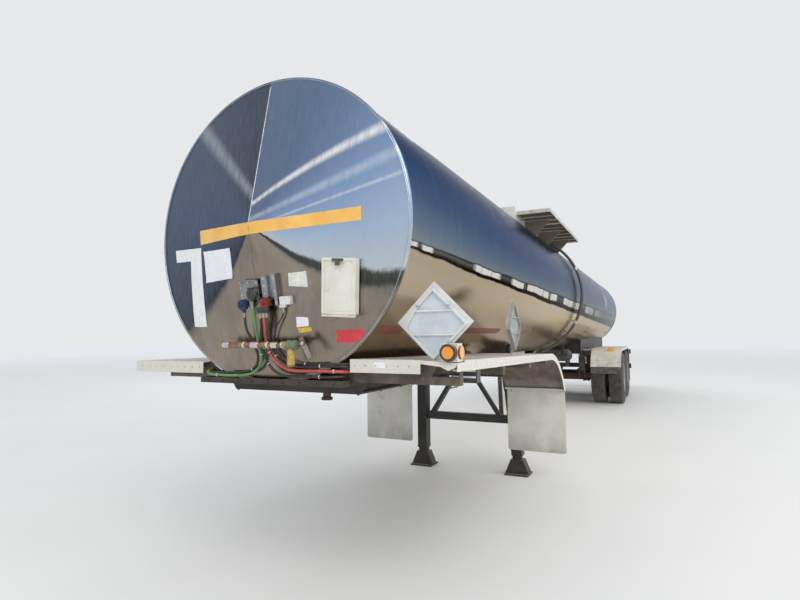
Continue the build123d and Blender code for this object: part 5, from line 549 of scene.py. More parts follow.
# ---------------- pieces
class Piece:
    """Gathers turned, boxed and sheet shapes into one mesh."""

    def __init__(self):
        self.mesh = bmesh.new()

    def turned(self, at, along, profile, steps=16, spin=0.0, closed=False):
        """Turn a profile of (distance along, radius) about a line. A closed profile is a ring."""
        at, along = Vector(at), Vector(along).normalized()
        side = along.orthogonal().normalized()
        other = along.cross(side)
        rings = []
        for distance, radius in profile:
            centre = at + along * distance
            if radius < 1e-6:
                rings.append([self.mesh.verts.new(centre)])
                continue
            rings.append([
                self.mesh.verts.new(centre + (side * cos(a) + other * sin(a)) * radius)
                for a in (spin + 2 * pi * n / steps for n in range(steps))
            ])
        pairs = list(zip(rings, rings[1:]))
        if closed:
            pairs.append((rings[-1], rings[0]))
        for first, second in pairs:
            for n in range(steps):
                m = (n + 1) % steps
                if len(first) == 1 and len(second) == 1:
                    continue
                if len(first) == 1:
                    self.mesh.faces.new((first[0], second[m], second[n]))
                elif len(second) == 1:
                    self.mesh.faces.new((first[n], first[m], second[0]))
                else:
                    self.mesh.faces.new((first[n], first[m], second[m], second[n]))

    def block(self, corners_low, corners_high):
        """Eight corners: four of one end, then the four across from them."""
        low = [self.mesh.verts.new(p) for p in corners_low]
        high = [self.mesh.verts.new(p) for p in corners_high]
        count = len(low)
        self.mesh.faces.new(low[::-1])
        self.mesh.faces.new(high)
        for n in range(count):
            m = (n + 1) % count
            self.mesh.faces.new((low[n], low[m], high[m], high[n]))

    def box(self, low, high):
        x0, y0, z0 = low
        x1, y1, z1 = high
        self.block([(x0, y0, z0), (x1, y0, z0), (x1, y1, z0), (x0, y1, z0)],
                   [(x0, y0, z1), (x1, y0, z1), (x1, y1, z1), (x0, y1, z1)])

    def slab(self, at, across, up, rise, top=None):
        """A block on a face. across and up are half of the face, top is the same for the far end."""
        over, high = top or (across, up)
        self.block([at + across * a + up * b for a, b in SQUARE],
                   [at + rise + over * a + high * b for a, b in SQUARE])

    def bolt(self, at, out, size=0.010, spin=0.3):
        """A washer with a six-sided head that has a rounded top."""
        at = Vector(at)
        self.turned(at, out, [(0, 0), (0, size * 1.15), (size * 0.2, size * 1.15), (size * 0.2, 0)], 14)
        self.turned(at, out, [
            (size * 0.2, 0), (size * 0.2, size * 0.92), (size * 0.75, size * 0.92),
            (size * 0.88, size * 0.74), (size * 0.88, 0),
        ], 6, spin)

    def rivet(self, at, out, size=0.006):
        """A domed rivet head."""
        self.turned(at, out, [(-0.0004, 0), (-0.0004, size), (size * 0.25, size * 0.9),
                              (size * 0.48, size * 0.55), (size * 0.56, 0)], 9)

    def nut_ring(self, at, along, inner, outer, width, steps=6):
        """A ring or nut round a pipe, with its edges taken off."""
        cut = min(width, outer - inner) * 0.22
        self.turned(at, along, [
            (-width / 2, inner), (-width / 2, outer - cut), (-width / 2 + cut, outer),
            (width / 2 - cut, outer), (width / 2, outer - cut), (width / 2, inner),
        ], steps, closed=True)

    def finish(self, name, look, slot, body="trailer", smooth=True, edge=None):
        bmesh.ops.recalc_face_normals(self.mesh, faces=self.mesh.faces)
        data = bpy.data.meshes.new(name)
        self.mesh.to_mesh(data)
        self.mesh.free()
        data.materials.append(look)
        if smooth:
            for face in data.polygons:
                face.use_smooth = True
            data.set_sharp_from_angle(angle=radians(38))
        piece = into_scene(name, data)
        if edge:
            rounding = piece.modifiers.new("edges", "BEVEL")
            rounding.width = edge
            rounding.segments = 2
            rounding.limit_method = "ANGLE"
        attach(piece, body)
        return piece


# ---------------- cords
# Each place is how far ahead of the rim, its y and how far below the tank's axis, in metres
CORDS = [
    ("cord_service", "hose_service", 0.0070, HOSE_BLACK, "rubber", 0.757, [
        (0.1158, -0.0849, 0.4569), (0.107, -0.087, 0.496), (0.092, -0.092, 0.545), (0.073, -0.083, 0.583),
        (0.062, -0.070, 0.617), (0.060, -0.051, 0.653), (0.054, -0.040, 0.684), (0.040, -0.054, 0.724),
        (0.025, -0.096, 0.762), (0.014, -0.160, 0.782), (0.013, -0.260, 0.787), (0.012, -0.345, 0.789),
        (0.011, -0.414, 0.790), (-0.004, -0.441, 0.791), (-0.030, -0.458, 0.791),
        (-0.0597, -0.458, 0.791)]),
    ("cord_green", "cable_green", 0.0080, HOSE_GREEN, "green_hose", 0.861, [
        (0.1279, -0.021, 0.410), (0.111, -0.021, 0.488), (0.086, -0.029, 0.551), (0.064, -0.034, 0.605),
        (0.061, -0.023, 0.648), (0.057, -0.014, 0.686), (0.046, -0.029, 0.735), (0.036, -0.073, 0.777),
        (0.030, -0.140, 0.796), (0.029, -0.220, 0.800), (0.029, -0.320, 0.801), (0.028, -0.419, 0.799),
        (0.010, -0.452, 0.788), (-0.022, -0.472, 0.776), (-0.0597, -0.472, 0.776)]),
    ("cord_mid", "hose_mid", 0.0070, HOSE_BLACK, "rubber", 0.803, [
        (0.1192, 0.0273, 0.4635), (0.110, 0.026, 0.507), (0.088, 0.008, 0.557), (0.066, -0.012, 0.605),
        (0.060, -0.003, 0.653), (0.054, 0.007, 0.690), (0.046, 0.024, 0.735), (0.036, 0.066, 0.779),
        (0.029, 0.130, 0.796), (0.028, 0.220, 0.797), (0.028, 0.320, 0.796), (0.028, 0.405, 0.795),
        (0.010, 0.438, 0.795), (-0.022, 0.458, 0.795), (-0.0597, 0.458, 0.795)]),
    ("cord_red", "hose_red", 0.0085, HOSE_RED, "red_hose", 0.741, [
        (0.1181, 0.0473, 0.4632), (0.109, 0.047, 0.507), (0.084, 0.031, 0.557), (0.064, 0.022, 0.605),
        (0.062, 0.033, 0.653), (0.057, 0.052, 0.690), (0.046, 0.088, 0.731), (0.033, 0.138, 0.761),
        (0.020, 0.210, 0.768), (0.017, 0.320, 0.766), (0.014, 0.428, 0.767), (-0.001, 0.455, 0.768),
        (-0.028, 0.472, 0.769), (-0.0597, 0.472, 0.769)]),
    ("cord_right", "hose_right", 0.0070, HOSE_BLACK, "rubber", 0.717, [
        (0.117, 0.0672, 0.463), (0.1085, 0.067, 0.507), (0.086, 0.056, 0.557), (0.064, 0.046, 0.605),
        (0.061, 0.060, 0.653), (0.054, 0.088, 0.695), (0.043, 0.124, 0.732), (0.030, 0.176, 0.746),
        (0.016, 0.260, 0.744), (0.013, 0.350, 0.742), (0.012, 0.443, 0.741), (-0.003, 0.470, 0.741),
        (-0.029, 0.486, 0.743), (-0.0597, 0.486, 0.743)]),
    ("cord_lamp", "cable_lamp", 0.0040, CABLE, "rubber", 0.732, [
        (0.090, 0.1558, 0.4366), (0.0835, 0.154, 0.472), (0.083, 0.128, 0.504), (0.080, 0.100, 0.542),
        (0.071, 0.079, 0.580), (0.065, 0.072, 0.617), (0.062, 0.080, 0.653), (0.058, 0.106, 0.691),
        (0.048, 0.142, 0.717), (0.034, 0.190, 0.729), (0.022, 0.250, 0.731), (0.017, 0.310, 0.730),
        (0.015, 0.370, 0.729), (0.014, 0.430, 0.728), (0.002, 0.466, 0.728), (-0.024, 0.494, 0.729),
        (-0.0597, 0.494, 0.729)]),
]


def cord_line(data):
    """Points along a cord's own spline."""
    thick, data.bevel_depth = data.bevel_depth, 0.0
    probe = into_scene("probe", data)
    line = bpy.data.meshes.new_from_object(probe.evaluated_get(bpy.context.evaluated_depsgraph_get()))
    points = [v.co.copy() for v in line.vertices]
    bpy.data.objects.remove(probe)
    bpy.data.meshes.remove(line)
    data.bevel_depth = thick
    return points


def at_share(points, share):
    """A place and direction along a line, by its share of the length."""
    lengths = [0.0]
    for a, b in zip(points, points[1:]):
        lengths.append(lengths[-1] + (b - a).length)
    goal = share * lengths[-1]
    for n, (start, end) in enumerate(zip(lengths, lengths[1:])):
        if goal <= end:
            return (points[n].lerp(points[n + 1], (goal - start) / max(end - start, 1e-9)),
                    (points[n + 1] - points[n]).normalized())
    return points[-1], (points[-1] - points[-2]).normalized()


TIES = {"cord_service": (0.47,), "cord_green": (0.33, 0.80), "cord_mid": (0.36, 0.78),
        "cord_red": (0.30, 0.86), "cord_right": (0.34, 0.72), "cord_lamp": (0.30, 0.60)}
for cord_name, node_name, radius, look, slot, length, places in CORDS:
    data = bpy.data.curves.new(cord_name, "CURVE")
    data.dimensions = "3D"
    spline = data.splines.new("NURBS")
    spline.points.add(len(places) - 1)
    for point, (ahead, y, drop) in zip(spline.points, places):
        point.co = (RIM_X + ahead, y, AXIS_Z - drop, 1.0)
        point.radius = radius
    spline.order_u = 3
    spline.use_endpoint_u = True
    spline.resolution_u = 10
    # Each point carries the radius, so the curve's own box is true
    data.bevel_depth = 1.0
    data.bevel_resolution = 5
    data.use_fill_caps = True
    data.materials.append(look)
    cord = into_scene(cord_name, data)
    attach(cord, "trailer")
    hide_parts(node_name)
    line = cord_line(data)
    start, way = line[0], (line[1] - line[0]).normalized()
    sleeve = Piece()
    sleeve.turned(start, way, [
        (0.0005, radius * 0.9), (0.0005, radius + 0.0042), (0.006, radius + 0.0044), (0.008, radius + 0.0026),
        (0.020, radius + 0.0024), (0.026, radius + 0.0012), (0.028, radius * 0.9),
    ], 18, closed=True)
    sleeve = sleeve.finish(cord_name + "_sleeve", FERRULE, "stainless")
    end, way = line[-1], (line[-1] - line[-2]).normalized()
    collar = Piece()
    collar.turned(end, -way, [
        (0.0, radius * 0.9), (0.0, radius + 0.005), (0.004, radius + 0.005), (0.008, radius + 0.0025),
        (0.012, radius + 0.0012), (0.012, radius * 0.9),
    ], 18, closed=True)
    collar = collar.finish(cord_name + "_grommet", RUBBER, "rubber")
    ties = Piece()
    for share in TIES[cord_name]:
        at, way = at_share(line, share)
        ties.nut_ring(at, way, radius * 0.95, radius + 0.0018, 0.0046, 20)
        out = way.orthogonal().normalized()
        head = at + out * (radius + 0.0028)
        ties.slab(head - out * 0.002, way.cross(out) * 0.003, way * 0.0026, out * 0.004)
    ties = ties.finish(cord_name + "_ties", TERMINAL, "cream_paint")


# ---------------- sheets on the head and barrel
def on_cone(y, z, off=0.0):
    """A place over the front head, off its sheet."""
    reach = hypot(y, z - AXIS_Z)
    slope = atan(CONE / HEAD_R)
    at = Vector((RIM_X + CONE * (1 - reach / HEAD_R), y, z))
    if reach < 1e-6:
        return at + Vector((off, 0, 0))
    return at + Vector((cos(slope), sin(slope) * y / reach, sin(slope) * (z - AXIS_Z) / reach)) * off


def cone_frame(y, z, turn=0.0):
    """Middle, across, up and out of a place on the front head."""
    at = on_cone(y, z)
    out = (on_cone(y, z, 1.0) - at).normalized()
    across = (LEFT - out * out.y).normalized()
    up = out.cross(across)
    return at, across * cos(turn) + up * sin(turn), up * cos(turn) - across * sin(turn), out


def curved_sheet(name, place, corners, size, look, slot, thick=0.0007, ragged=0.0, curl=0.0):
    """A thin sheet that follows a surface; corners go round, first two along the top."""
    columns, rows = size
    sheet = Piece()
    layers = []
    for off in (0.0001, thick):
        layer = []
        for r in range(rows + 1):
            line = []
            for c in range(columns + 1):
                u, v = c / columns, r / rows
                a = [corners[0][i] * (1 - u) + corners[1][i] * u for i in (0, 1)]
                b = [corners[3][i] * (1 - u) + corners[2][i] * u for i in (0, 1)]
                p = [a[i] * (1 - v) + b[i] * v for i in (0, 1)]
                if ragged and (r in (0, rows) or c in (0, columns)):
                    draw = random.Random(SEED + 97 * r + 13 * c + len(name))
                    p = [value + draw.uniform(-ragged, ragged) for value in p]
                lift = curl * max(0.0, (abs(u - 0.5) + abs(v - 0.5) - 0.8)) * 5
                line.append(sheet.mesh.verts.new(place(p[0], p[1], off + lift)))
            layer.append(line)
        layers.append(layer)
    low, high = layers
    for r in range(rows):
        for c in range(columns):
            sheet.mesh.faces.new((high[r][c], high[r][c + 1], high[r + 1][c + 1], high[r + 1][c]))
            sheet.mesh.faces.new((low[r + 1][c], low[r + 1][c + 1], low[r][c + 1], low[r][c]))
    for r in range(rows):
        for c in (0, columns):
            sheet.mesh.faces.new((low[r][c], low[r + 1][c], high[r + 1][c], high[r][c]))
    for c in range(columns):
        for r in (0, rows):
            sheet.mesh.faces.new((low[r][c], low[r][c + 1], high[r][c + 1], high[r][c]))
    return sheet.finish(name, look, slot)


HEAD_SHEETS = [
    # name, corners as y and z from the top left, columns and rows, material, thickness
    ("orange_band_right", [(-0.460, 2.022), (0.0, 2.009), (0.0, 1.947), (-0.448, 1.939)],
     (24, 5), ORANGE, 0.0008),
    ("orange_band_left", [(0.0, 2.009), (0.599, 2.050), (0.599, 1.980), (0.0, 1.947)],
     (30, 5), ORANGE, 0.0008),
    ("white_tape_bar", [(-0.717, 1.934), (-0.448, 1.922), (-0.446, 1.852), (-0.707, 1.860)],
     (16, 6), WHITE_TAPE, 0.0009),
    ("white_tape_stem", [(-0.554, 1.856), (-0.446, 1.852), (-0.446, 1.469), (-0.559, 1.471)],
     (7, 20), WHITE_TAPE, 0.0007),
    ("paper_card", [(-0.419, 1.896), (-0.175, 1.892), (-0.175, 1.730), (-0.406, 1.718)],
     (14, 10), PAPER, 0.0009),
    ("light_label", [(0.197, 1.735), (0.300, 1.741), (0.303, 1.660), (0.195, 1.669)],
     (8, 7), TERMINAL, 0.0008),
    ("white_label", [(0.215, 1.510), (0.286, 1.508), (0.286, 1.462), (0.214, 1.458)],
     (6, 5), PAPER, 0.0007),
    ("yellow_label", [(0.219, 1.453), (0.297, 1.457), (0.300, 1.436), (0.222, 1.427)],
     (7, 3), YELLOW, 0.0007),
    ("red_label", [(0.436, 1.440), (0.587, 1.443), (0.586, 1.379), (0.435, 1.374)],
     (9, 5), RED_SHEET, 0.0007),
]
for name, corners, size, look, thick in HEAD_SHEETS:
    curved_sheet(name, on_cone, corners, size, look, "heads", thick, ragged=0.0007,
                 curl=0.0035 if look is PAPER else 0.0)


def on_barrel(x, angle, off=0.0):
    """A place beside the barrel, from its angle above level on the left side."""
    radius = BARREL_R + off
    return Vector((x, radius * cos(angle), AXIS_Z + radius * sin(angle)))


def on_barrel_right(x, angle, off=0.0):
    at = on_barrel(x, angle, off)
    return Vector((at.x, -at.y, at.z))


TAPE_TOP, TAPE_FOOT = radians(-39.6), radians(-43.4)
TAPES = [(6.48, 6.20), (5.18, 4.28), (3.40, 2.99), (1.05, 0.62), (-1.30, -1.74), (-5.35, -5.70)]
for n, (front, rear) in enumerate(TAPES):
    for side, place in (("left", on_barrel), ("right", on_barrel_right)):
        corners = [(front, TAPE_TOP), (rear, TAPE_TOP), (rear, TAPE_FOOT), (front, TAPE_FOOT)]
        curved_sheet(f"red_tape_{side}_{n}", place, corners, (16, 5), RED_TAPE, "jacket", 0.0008, 0.0006)


# ---------------- seams and welds
def head_seam(name, high, low, look, size):
    """The weld bead down the front head, with its ripples."""
    bead = Piece()
    chance = random.Random(SEED)
    rings = []
    steps = round((high - low) / 0.0068)
    for n in range(steps + 1):
        z = high - (high - low) * n / steps
        y = -0.012 - 0.004 * (z - 2.0) * (1 if z > 1.997 else 4) * 0.5
        at, across, up, out = cone_frame(y, z)
        half = 0.0027 * size * (1.0 + 0.12 * chance.uniform(-1, 1))
        rise = 0.0011 * size * (0.85 + 0.3 * (n % 2))
        rings.append([at + across * half * cos(a) + out * (rise * sin(a) - 0.0002)
                      for a in (0, pi / 5, 2 * pi / 5, 3 * pi / 5, 4 * pi / 5, pi)])
    rows = [[bead.mesh.verts.new(p) for p in ring] for ring in rings]
    for a, b in zip(rows, rows[1:]):
        for i in range(5):
            bead.mesh.faces.new((a[i], a[i + 1], b[i + 1], b[i]))
        bead.mesh.faces.new((a[5], a[0], b[0], b[5]))
    bead.mesh.faces.new(rows[0])
    bead.mesh.faces.new(rows[-1][::-1])
    return bead.finish(name, look, "heads")


head_seam("head_seam_upper", 2.815, AXIS_Z + 0.008, BRIGHT, 1.0)
head_seam("head_seam_lower", AXIS_Z - 0.008, 1.72, BRACKET, 0.7)
seams = Piece()
for x in (3.44, 0.20, -3.05):
    seams.turned((x, 0, AXIS_Z), AHEAD, [
        (-0.009, BARREL_R - 0.0005), (-0.008, BARREL_R + 0.0004), (-0.002, BARREL_R + 0.0006),
        (0.0, BARREL_R + 0.0012), (0.002, BARREL_R + 0.0006), (0.008, BARREL_R + 0.0004),
        (0.009, BARREL_R - 0.0005),
    ], 128, closed=True)
seams.finish("jacket_seams", JACKET, "jacket")
rim_bead = Piece()
for x, way in ((RIM_X, 1), (REAR_RIM_X, -1)):
    rim_bead.turned((x, 0, AXIS_Z), (way, 0, 0), [
        (-0.0015, BARREL_R - 0.0005), (0.0004, BARREL_R - 0.0010), (0.0014, BARREL_R - 0.0024),
        (0.0012, BARREL_R - 0.0042), (-0.0004, BARREL_R - 0.0055), (-0.0015, BARREL_R - 0.0035),
    ], 160, closed=True)
rim_bead.finish("rim_weld_beads", STAINLESS, "stainless")


# ---------------- kit on the front head
class HeadPlace:
    """A place on the front head, for shapes that are set by across, up and out of it."""

    def __init__(self, y, z, turn=0.0):
        self.at, self.across, self.up, self.out = cone_frame(y, z, turn)

    def point(self, u, v, w):
        return self.at + self.across * u + self.up * v + self.out * w

    def box(self, piece, u, v, w):
        """A block from its limits across, up and out."""
        piece.block(*[[self.point(u[a > 0], v[b > 0], out) for a, b in SQUARE] for out in w])

    def bolts(self, piece, size, w, *spots):
        for u, v in spots:
            piece.bolt(self.point(u, v, w), self.out, size)

    def studs(self, piece, w, profile, steps, *spots):
        for u, v in spots:
            piece.turned(self.point(u, v, w), self.out, profile, steps)


document_box = HeadPlace(0.495, 1.660, radians(-4.6))
latch = Piece()
document_box.box(latch, (-0.030, 0.030), (0.119, 0.1345), (0.0773, 0.0800))
document_box.box(latch, (-0.012, 0.012), (0.100, 0.124), (0.0773, 0.0830))
document_box.studs(latch, 0.0798, [(0, 0), (0, 0.004), (0.002, 0.0035), (0.003, 0)], 10,
                   (-0.024, 0.127), (0.024, 0.127))
latch.finish("document_latch", DARK_METAL, "cream_paint", "document_box_lid", edge=0.0008)
lid_panel = Piece()
document_box.box(lid_panel, (-0.0735, 0.0735), (-0.1235, 0.1235), (0.0643, 0.0650))
for u in (-0.068, 0.068):
    for v in (-0.118, 0.0, 0.118):
        lid_panel.rivet(document_box.point(u, v, 0.0650), document_box.out, 0.003)
lid_panel.finish("document_lid_panel", CREAM_PAINT, "cream_paint", "document_box_lid", edge=0.0003)

air_plate = HeadPlace(-0.038, 1.664)
service = Piece()
for u in (-0.068, -0.024):
    air_plate.box(service, (u, u + 0.012), (-0.074, -0.056), (0.0308, 0.0468))
service.nut_ring(air_plate.point(-0.046, -0.078, 0.0513), air_plate.out, 0.012, 0.021, 0.005, 24)
air_plate.bolts(service, 0.007, 0.0508, (-0.046, -0.078))
service.finish("service_coupling_lugs", BLUE, "blue_metal", edge=0.0010)
plate_bolts = Piece()
air_plate.bolts(plate_bolts, 0.0062, 0.0265, (-0.055, 0.038), (0.0, 0.038), (0.055, 0.038))
air_plate.bolts(plate_bolts, 0.0050, 0.0265, (-0.057, -0.030), (-0.057, 0.010))
plate_bolts.finish("air_bracket_bolts", NICKEL, "stainless")
cover = Piece()
air_plate.studs(cover, 0.054, [
    (-0.006, 0.0275), (-0.006, 0.0315), (0.001, 0.0315), (0.003, 0.0290), (0.0040, 0.020),
    (0.0042, 0.0), (-0.001, 0.0),
], 30, (0.033, -0.022))
air_plate.box(cover, (0.014, 0.052), (0.006, 0.014), (0.046, 0.058))
air_plate.box(cover, (0.024, 0.042), (-0.060, -0.048), (0.050, 0.057))
cover.finish("socket_cover", BLACK_PAINT, "black_paint", edge=0.0010)

channel = HeadPlace(0.091, 1.668)
emergency = Piece()
emergency.nut_ring(channel.point(-0.026, -0.076, 0.0530), channel.out, 0.011, 0.020, 0.005, 24)
channel.bolts(emergency, 0.0065, 0.0525, (-0.026, -0.076))
channel.box(emergency, (-0.050, -0.040), (-0.070, -0.058), (0.032, 0.048))
emergency.finish("emergency_coupling_lugs", RED, "red_metal", edge=0.0010)
manifold = Piece()
channel.box(manifold, (-0.078, -0.014), (-0.129, -0.0985), (0.0270, 0.0535))
channel.bolts(manifold, 0.0052, 0.0535, (-0.068, -0.113), (-0.046, -0.113), (-0.024, -0.113))
manifold.finish("manifold_shell", BLACK_PAINT, "black_paint", edge=0.0012)
channel_bolts = Piece()
channel.bolts(channel_bolts, 0.0060, 0.028, (-0.028, -0.030), (-0.028, 0.010), (-0.028, 0.050))
channel.bolts(channel_bolts, 0.0050, 0.028, (0.036, -0.080), (0.036, -0.020), (0.036, 0.050))
channel_bolts.finish("channel_bolts", NICKEL, "stainless")
terminals = HeadPlace(0.176, 1.599)
terminal = Piece()
terminals.box(terminal, (-0.0315, 0.0315), (-0.0205, 0.0205), (0.0218, 0.0258))
terminals.studs(terminal, 0.0257, [(0, 0), (0, 0.0035), (0.0012, 0.003), (0.0016, 0)], 12,
                (-0.026, -0.015), (-0.026, 0.015), (0.026, -0.015), (0.026, 0.015))
terminal.finish("terminal_box_cover", TERMINAL, "cream_paint", edge=0.0010)

# Fittings along the pipe under the head
PIPE = Vector((6.652, 0.0, 1.366))
for name, look, slot, rings in (
    ("pipe_nuts", BRASS, "brass", (
        (-0.252, 0.0215, 0.020, 6), (-0.118, 0.0205, 0.022, 6), (0.046, 0.0210, 0.024, 6),
        (0.178, 0.0225, 0.022, 6))),
    ("pipe_unions", NICKEL, "brass", (
        (-0.215, 0.0185, 0.034, 20), (-0.020, 0.0185, 0.050, 20), (0.110, 0.0185, 0.040, 20))),
    ("pipe_sealant", SEALANT, "cream_paint", (
        (-0.236, 0.0168, 0.010, 18), (-0.096, 0.0170, 0.012, 18), (0.064, 0.0172, 0.012, 18),
        (0.161, 0.0172, 0.010, 18))),
):
    fitting = Piece()
    for y, outer, width, steps in rings:
        fitting.nut_ring(PIPE + LEFT * y, LEFT, 0.0146, outer, width, steps)
    fitting.finish(name, look, slot)
valve = Piece()
valve.turned(PIPE + LEFT * 0.194, LEFT, [
    (0.0, 0.0150), (0.0, 0.0232), (0.006, 0.0262), (0.012, 0.0240), (0.020, 0.0236), (0.036, 0.0236),
    (0.044, 0.0240), (0.050, 0.0262), (0.057, 0.0232), (0.0575, 0.0150),
], 24, closed=True)
valve.nut_ring(PIPE + LEFT * 0.253, LEFT, 0.008, 0.0170, 0.008, 6)
valve.finish("pipe_valve_body", PATINA, "brass")
wrap = Piece()
turns = [(0.001 + 0.003 * n, 0.0199 if n % 2 else 0.0208) for n in range(26)]
profile = [(0.0, 0.0188), *turns, (0.078, 0.0188)]
wrap.turned((6.652, 0.215, 1.3420), (0.05, 0.03, -1), profile, 26, closed=True)
wrap.finish("drop_pipe_wrap", WRAP, "brass")
cap = Piece()
cap.nut_ring((6.652, 0.215, 1.2635), UP, 0.0120, 0.0212, 0.014, 6)
cap.finish("drop_pipe_nut", BRASS, "brass")
LEVER_TURN = radians(28)
lever_top = Vector((6.670, 0.302 - 0.030 * sin(LEVER_TURN), 1.375 + 0.030))
lever_way = Vector((0, sin(LEVER_TURN), -cos(LEVER_TURN)))
lever_side = Vector((0, cos(LEVER_TURN), sin(LEVER_TURN)))
grip = Piece()
grip_profile = [(0.012, 0.0036), (0.0142, 0.0016), (0.0142, -0.0016), (0.012, -0.0036), (-0.012, -0.0036),
                (-0.0142, -0.0016), (-0.0142, 0.0016), (-0.012, 0.0036)]
grip.block(*[[lever_top + lever_way * down + lever_side * a * wide + AHEAD * b for a, b in grip_profile]
             for down, wide in ((0.045, 1.0), (0.1205, 0.92))])
grip.finish("valve_lever_grip", GREY_GRIP, "brass", edge=0.0012)
lever_nut = Piece()
lever_nut.bolt((6.676, 0.302, 1.375), AHEAD, 0.0085)
lever_nut.finish("valve_lever_nut", NICKEL, "stainless")


# ---------------- front fenders
DECK_LEFT, DECK_RIGHT, DECK_REAR, DECK_LENGTH = 1.293, 1.267, 1.245, 2.250


def deck_z(x, side):
    """Height of a fender's deck, which falls toward the rear."""
    front = DECK_LEFT if side > 0 else DECK_RIGHT
    return front - (front - DECK_REAR) * (RIM_X - x) / DECK_LENGTH


rivets = Piece()
for side in SIDES:
    for station in (0.078, 0.820, 1.520, 2.100):
        x = RIM_X - station
        for n in range(8):
            y = 0.535 + 0.068 * n
            if (side > 0 and station < 0.1 and y > 0.87) or (side < 0 and y > 0.83):
                continue
            rivets.rivet((x, side * y, deck_z(x, side)), UP, 0.0062)
    for n in range(22):
        x = RIM_X - 0.14 - 0.098 * n
        rivets.rivet((x, side * 1.075, deck_z(x, side) - 0.030), (0, side, 0), 0.0050)
    for n in range(9):
        y = 0.53 + 0.060 * n
        if side > 0 and y > 0.87:
            continue
        rivets.rivet((RIM_X, side * y, deck_z(RIM_X, side) - 0.031), AHEAD, 0.0050)
rivets.finish("fender_rivets", NICKEL, "aluminium")
ribs = Piece()
for side in SIDES:
    for station in (0.43, 1.16, 1.80):
        x = RIM_X - station
        z = deck_z(x, side) - 0.005
        corners = ((-0.030, 0), (0.030, 0), (0.012, 0.022), (-0.012, 0.022))
        ribs.block(*[[(x + dx, side * y, z - drop) for dx, drop in corners] for y in (0.520, 1.062)])
ribs.finish("fender_ribs", FENDER, "aluminium", edge=0.003)
patch = Piece()
patch.box((6.5518, 0.640, 1.252), (6.5530, 0.700, 1.279))
for y in (0.646, 0.694):
    patch.rivet((6.5530, y, 1.2655), AHEAD, 0.0022)
patch.finish("fender_patch", PAPER, "aluminium", edge=0.0004)
flap_bits = Piece()
flap_strip = Piece()
flap_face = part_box("front_mudflaps")[1].x
for side in SIDES:
    for n in range(6):
        flap_bits.bolt((flap_face + 0.004, side * (0.56 + 0.094 * n), 0.857), AHEAD, 0.0085)
    low, high = sorted((side * 0.525, side * 1.065))
    flap_strip.box((flap_face, low, 0.843), (flap_face + 0.004, high, 0.871))
flap_bits.finish("mudflap_bolts", NICKEL, "stainless")
flap_strip.finish("mudflap_strips", FLAP, "aluminium", edge=0.001)


# Placard panels and their clips
HALF_PANEL = 0.1585
PANEL_OUTLINE = [(HALF_PANEL, 0), (0, HALF_PANEL), (-HALF_PANEL * 0.58, HALF_PANEL * 0.42),
                 (-HALF_PANEL * 0.88, -HALF_PANEL * 0.12), (0, -HALF_PANEL)]
for name, middle, across, out in (
    ("placard_panel_front", (6.444, 0.920, 1.473), LEFT, AHEAD),
    ("placard_panel_left", (5.072, 0.950, 1.475), (-1, 0, 0), LEFT),
    ("placard_panel_right", (5.072, -0.950, 1.475), (-1, 0, 0), (0, -1, 0)),
):
    middle, across, out = Vector(middle), Vector(across), Vector(out)
    panel = Piece()
    panel.block(*[[middle + across * u + UP * (v - 0.009) + out * lift for u, v in PANEL_OUTLINE]
                  for lift in (0.0109, 0.0121)])
    panel.finish(name, PANEL, "aluminium", edge=0.0004)
    clips = Piece()
    for u, v in ((0.080, 0.0775), (-0.080, 0.0775), (0.080, -0.0955)):
        at = middle + across * u + UP * v + out * 0.0250
        clips.slab(at, across * 0.010, UP * 0.005, out * 0.002, (across * 0.009, UP * 0.004))
        clips.rivet(at + out * 0.002, out, 0.0035)
    clips.finish(name + "_clips", NICKEL, "stainless", edge=0.0006)

# Lamps
LAMP_Y = 1.033
lamp_z = sum(corner.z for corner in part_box("marker_lamp_housing")) / 2
bezel = Piece()
bezel.turned((6.5495, LAMP_Y, lamp_z), AHEAD, [
    (0.0, 0.0381), (0.0, 0.0412), (0.019, 0.0410), (0.0245, 0.0385), (0.0250, 0.0300), (0.0228, 0.0285),
    (0.0226, 0.0381),
], 40, closed=True)
bezel.turned((6.519, 1.0745, lamp_z), LEFT, [
    (0.0, 0.0288), (0.0, 0.0312), (0.006, 0.0308), (0.008, 0.0288),
], 32, closed=True)
bezel.finish("marker_lamp_bezels", BLACK_PAINT, "black_paint")
lamp_screws = Piece()
for a, b in ((-1, 1), (1, 1), (-1, -1), (1, -1)):
    lamp_screws.turned((6.550, LAMP_Y + 0.035 * a, lamp_z + 0.035 * b), AHEAD,
                       [(0, 0), (0, 0.0038), (0.0016, 0.0032), (0.0022, 0)], 12)
lamp_screws.finish("marker_lamp_screws", NICKEL, "stainless")
tail = Piece()
for side in SIDES:
    for y in (0.640, 0.800, 1.040):
        tail.turned((-6.7065, side * y, 0.920), (-1, 0, 0), [
            (0.0, 0.0518), (0.0, 0.0570), (0.012, 0.0565), (0.018, 0.0540), (0.018, 0.0518),
        ], 36, closed=True)
tail.finish("tail_lamp_bezels", BLACK_PAINT, "black_paint")
box_bits = Piece()
for z in (1.190, 1.222, 1.252):
    box_bits.box((6.2515, 0.936, z), (6.2535, 1.060, z + 0.010))
box_bits.finish("junction_box_stripes", PAPER, "black_paint", edge=0.0004)

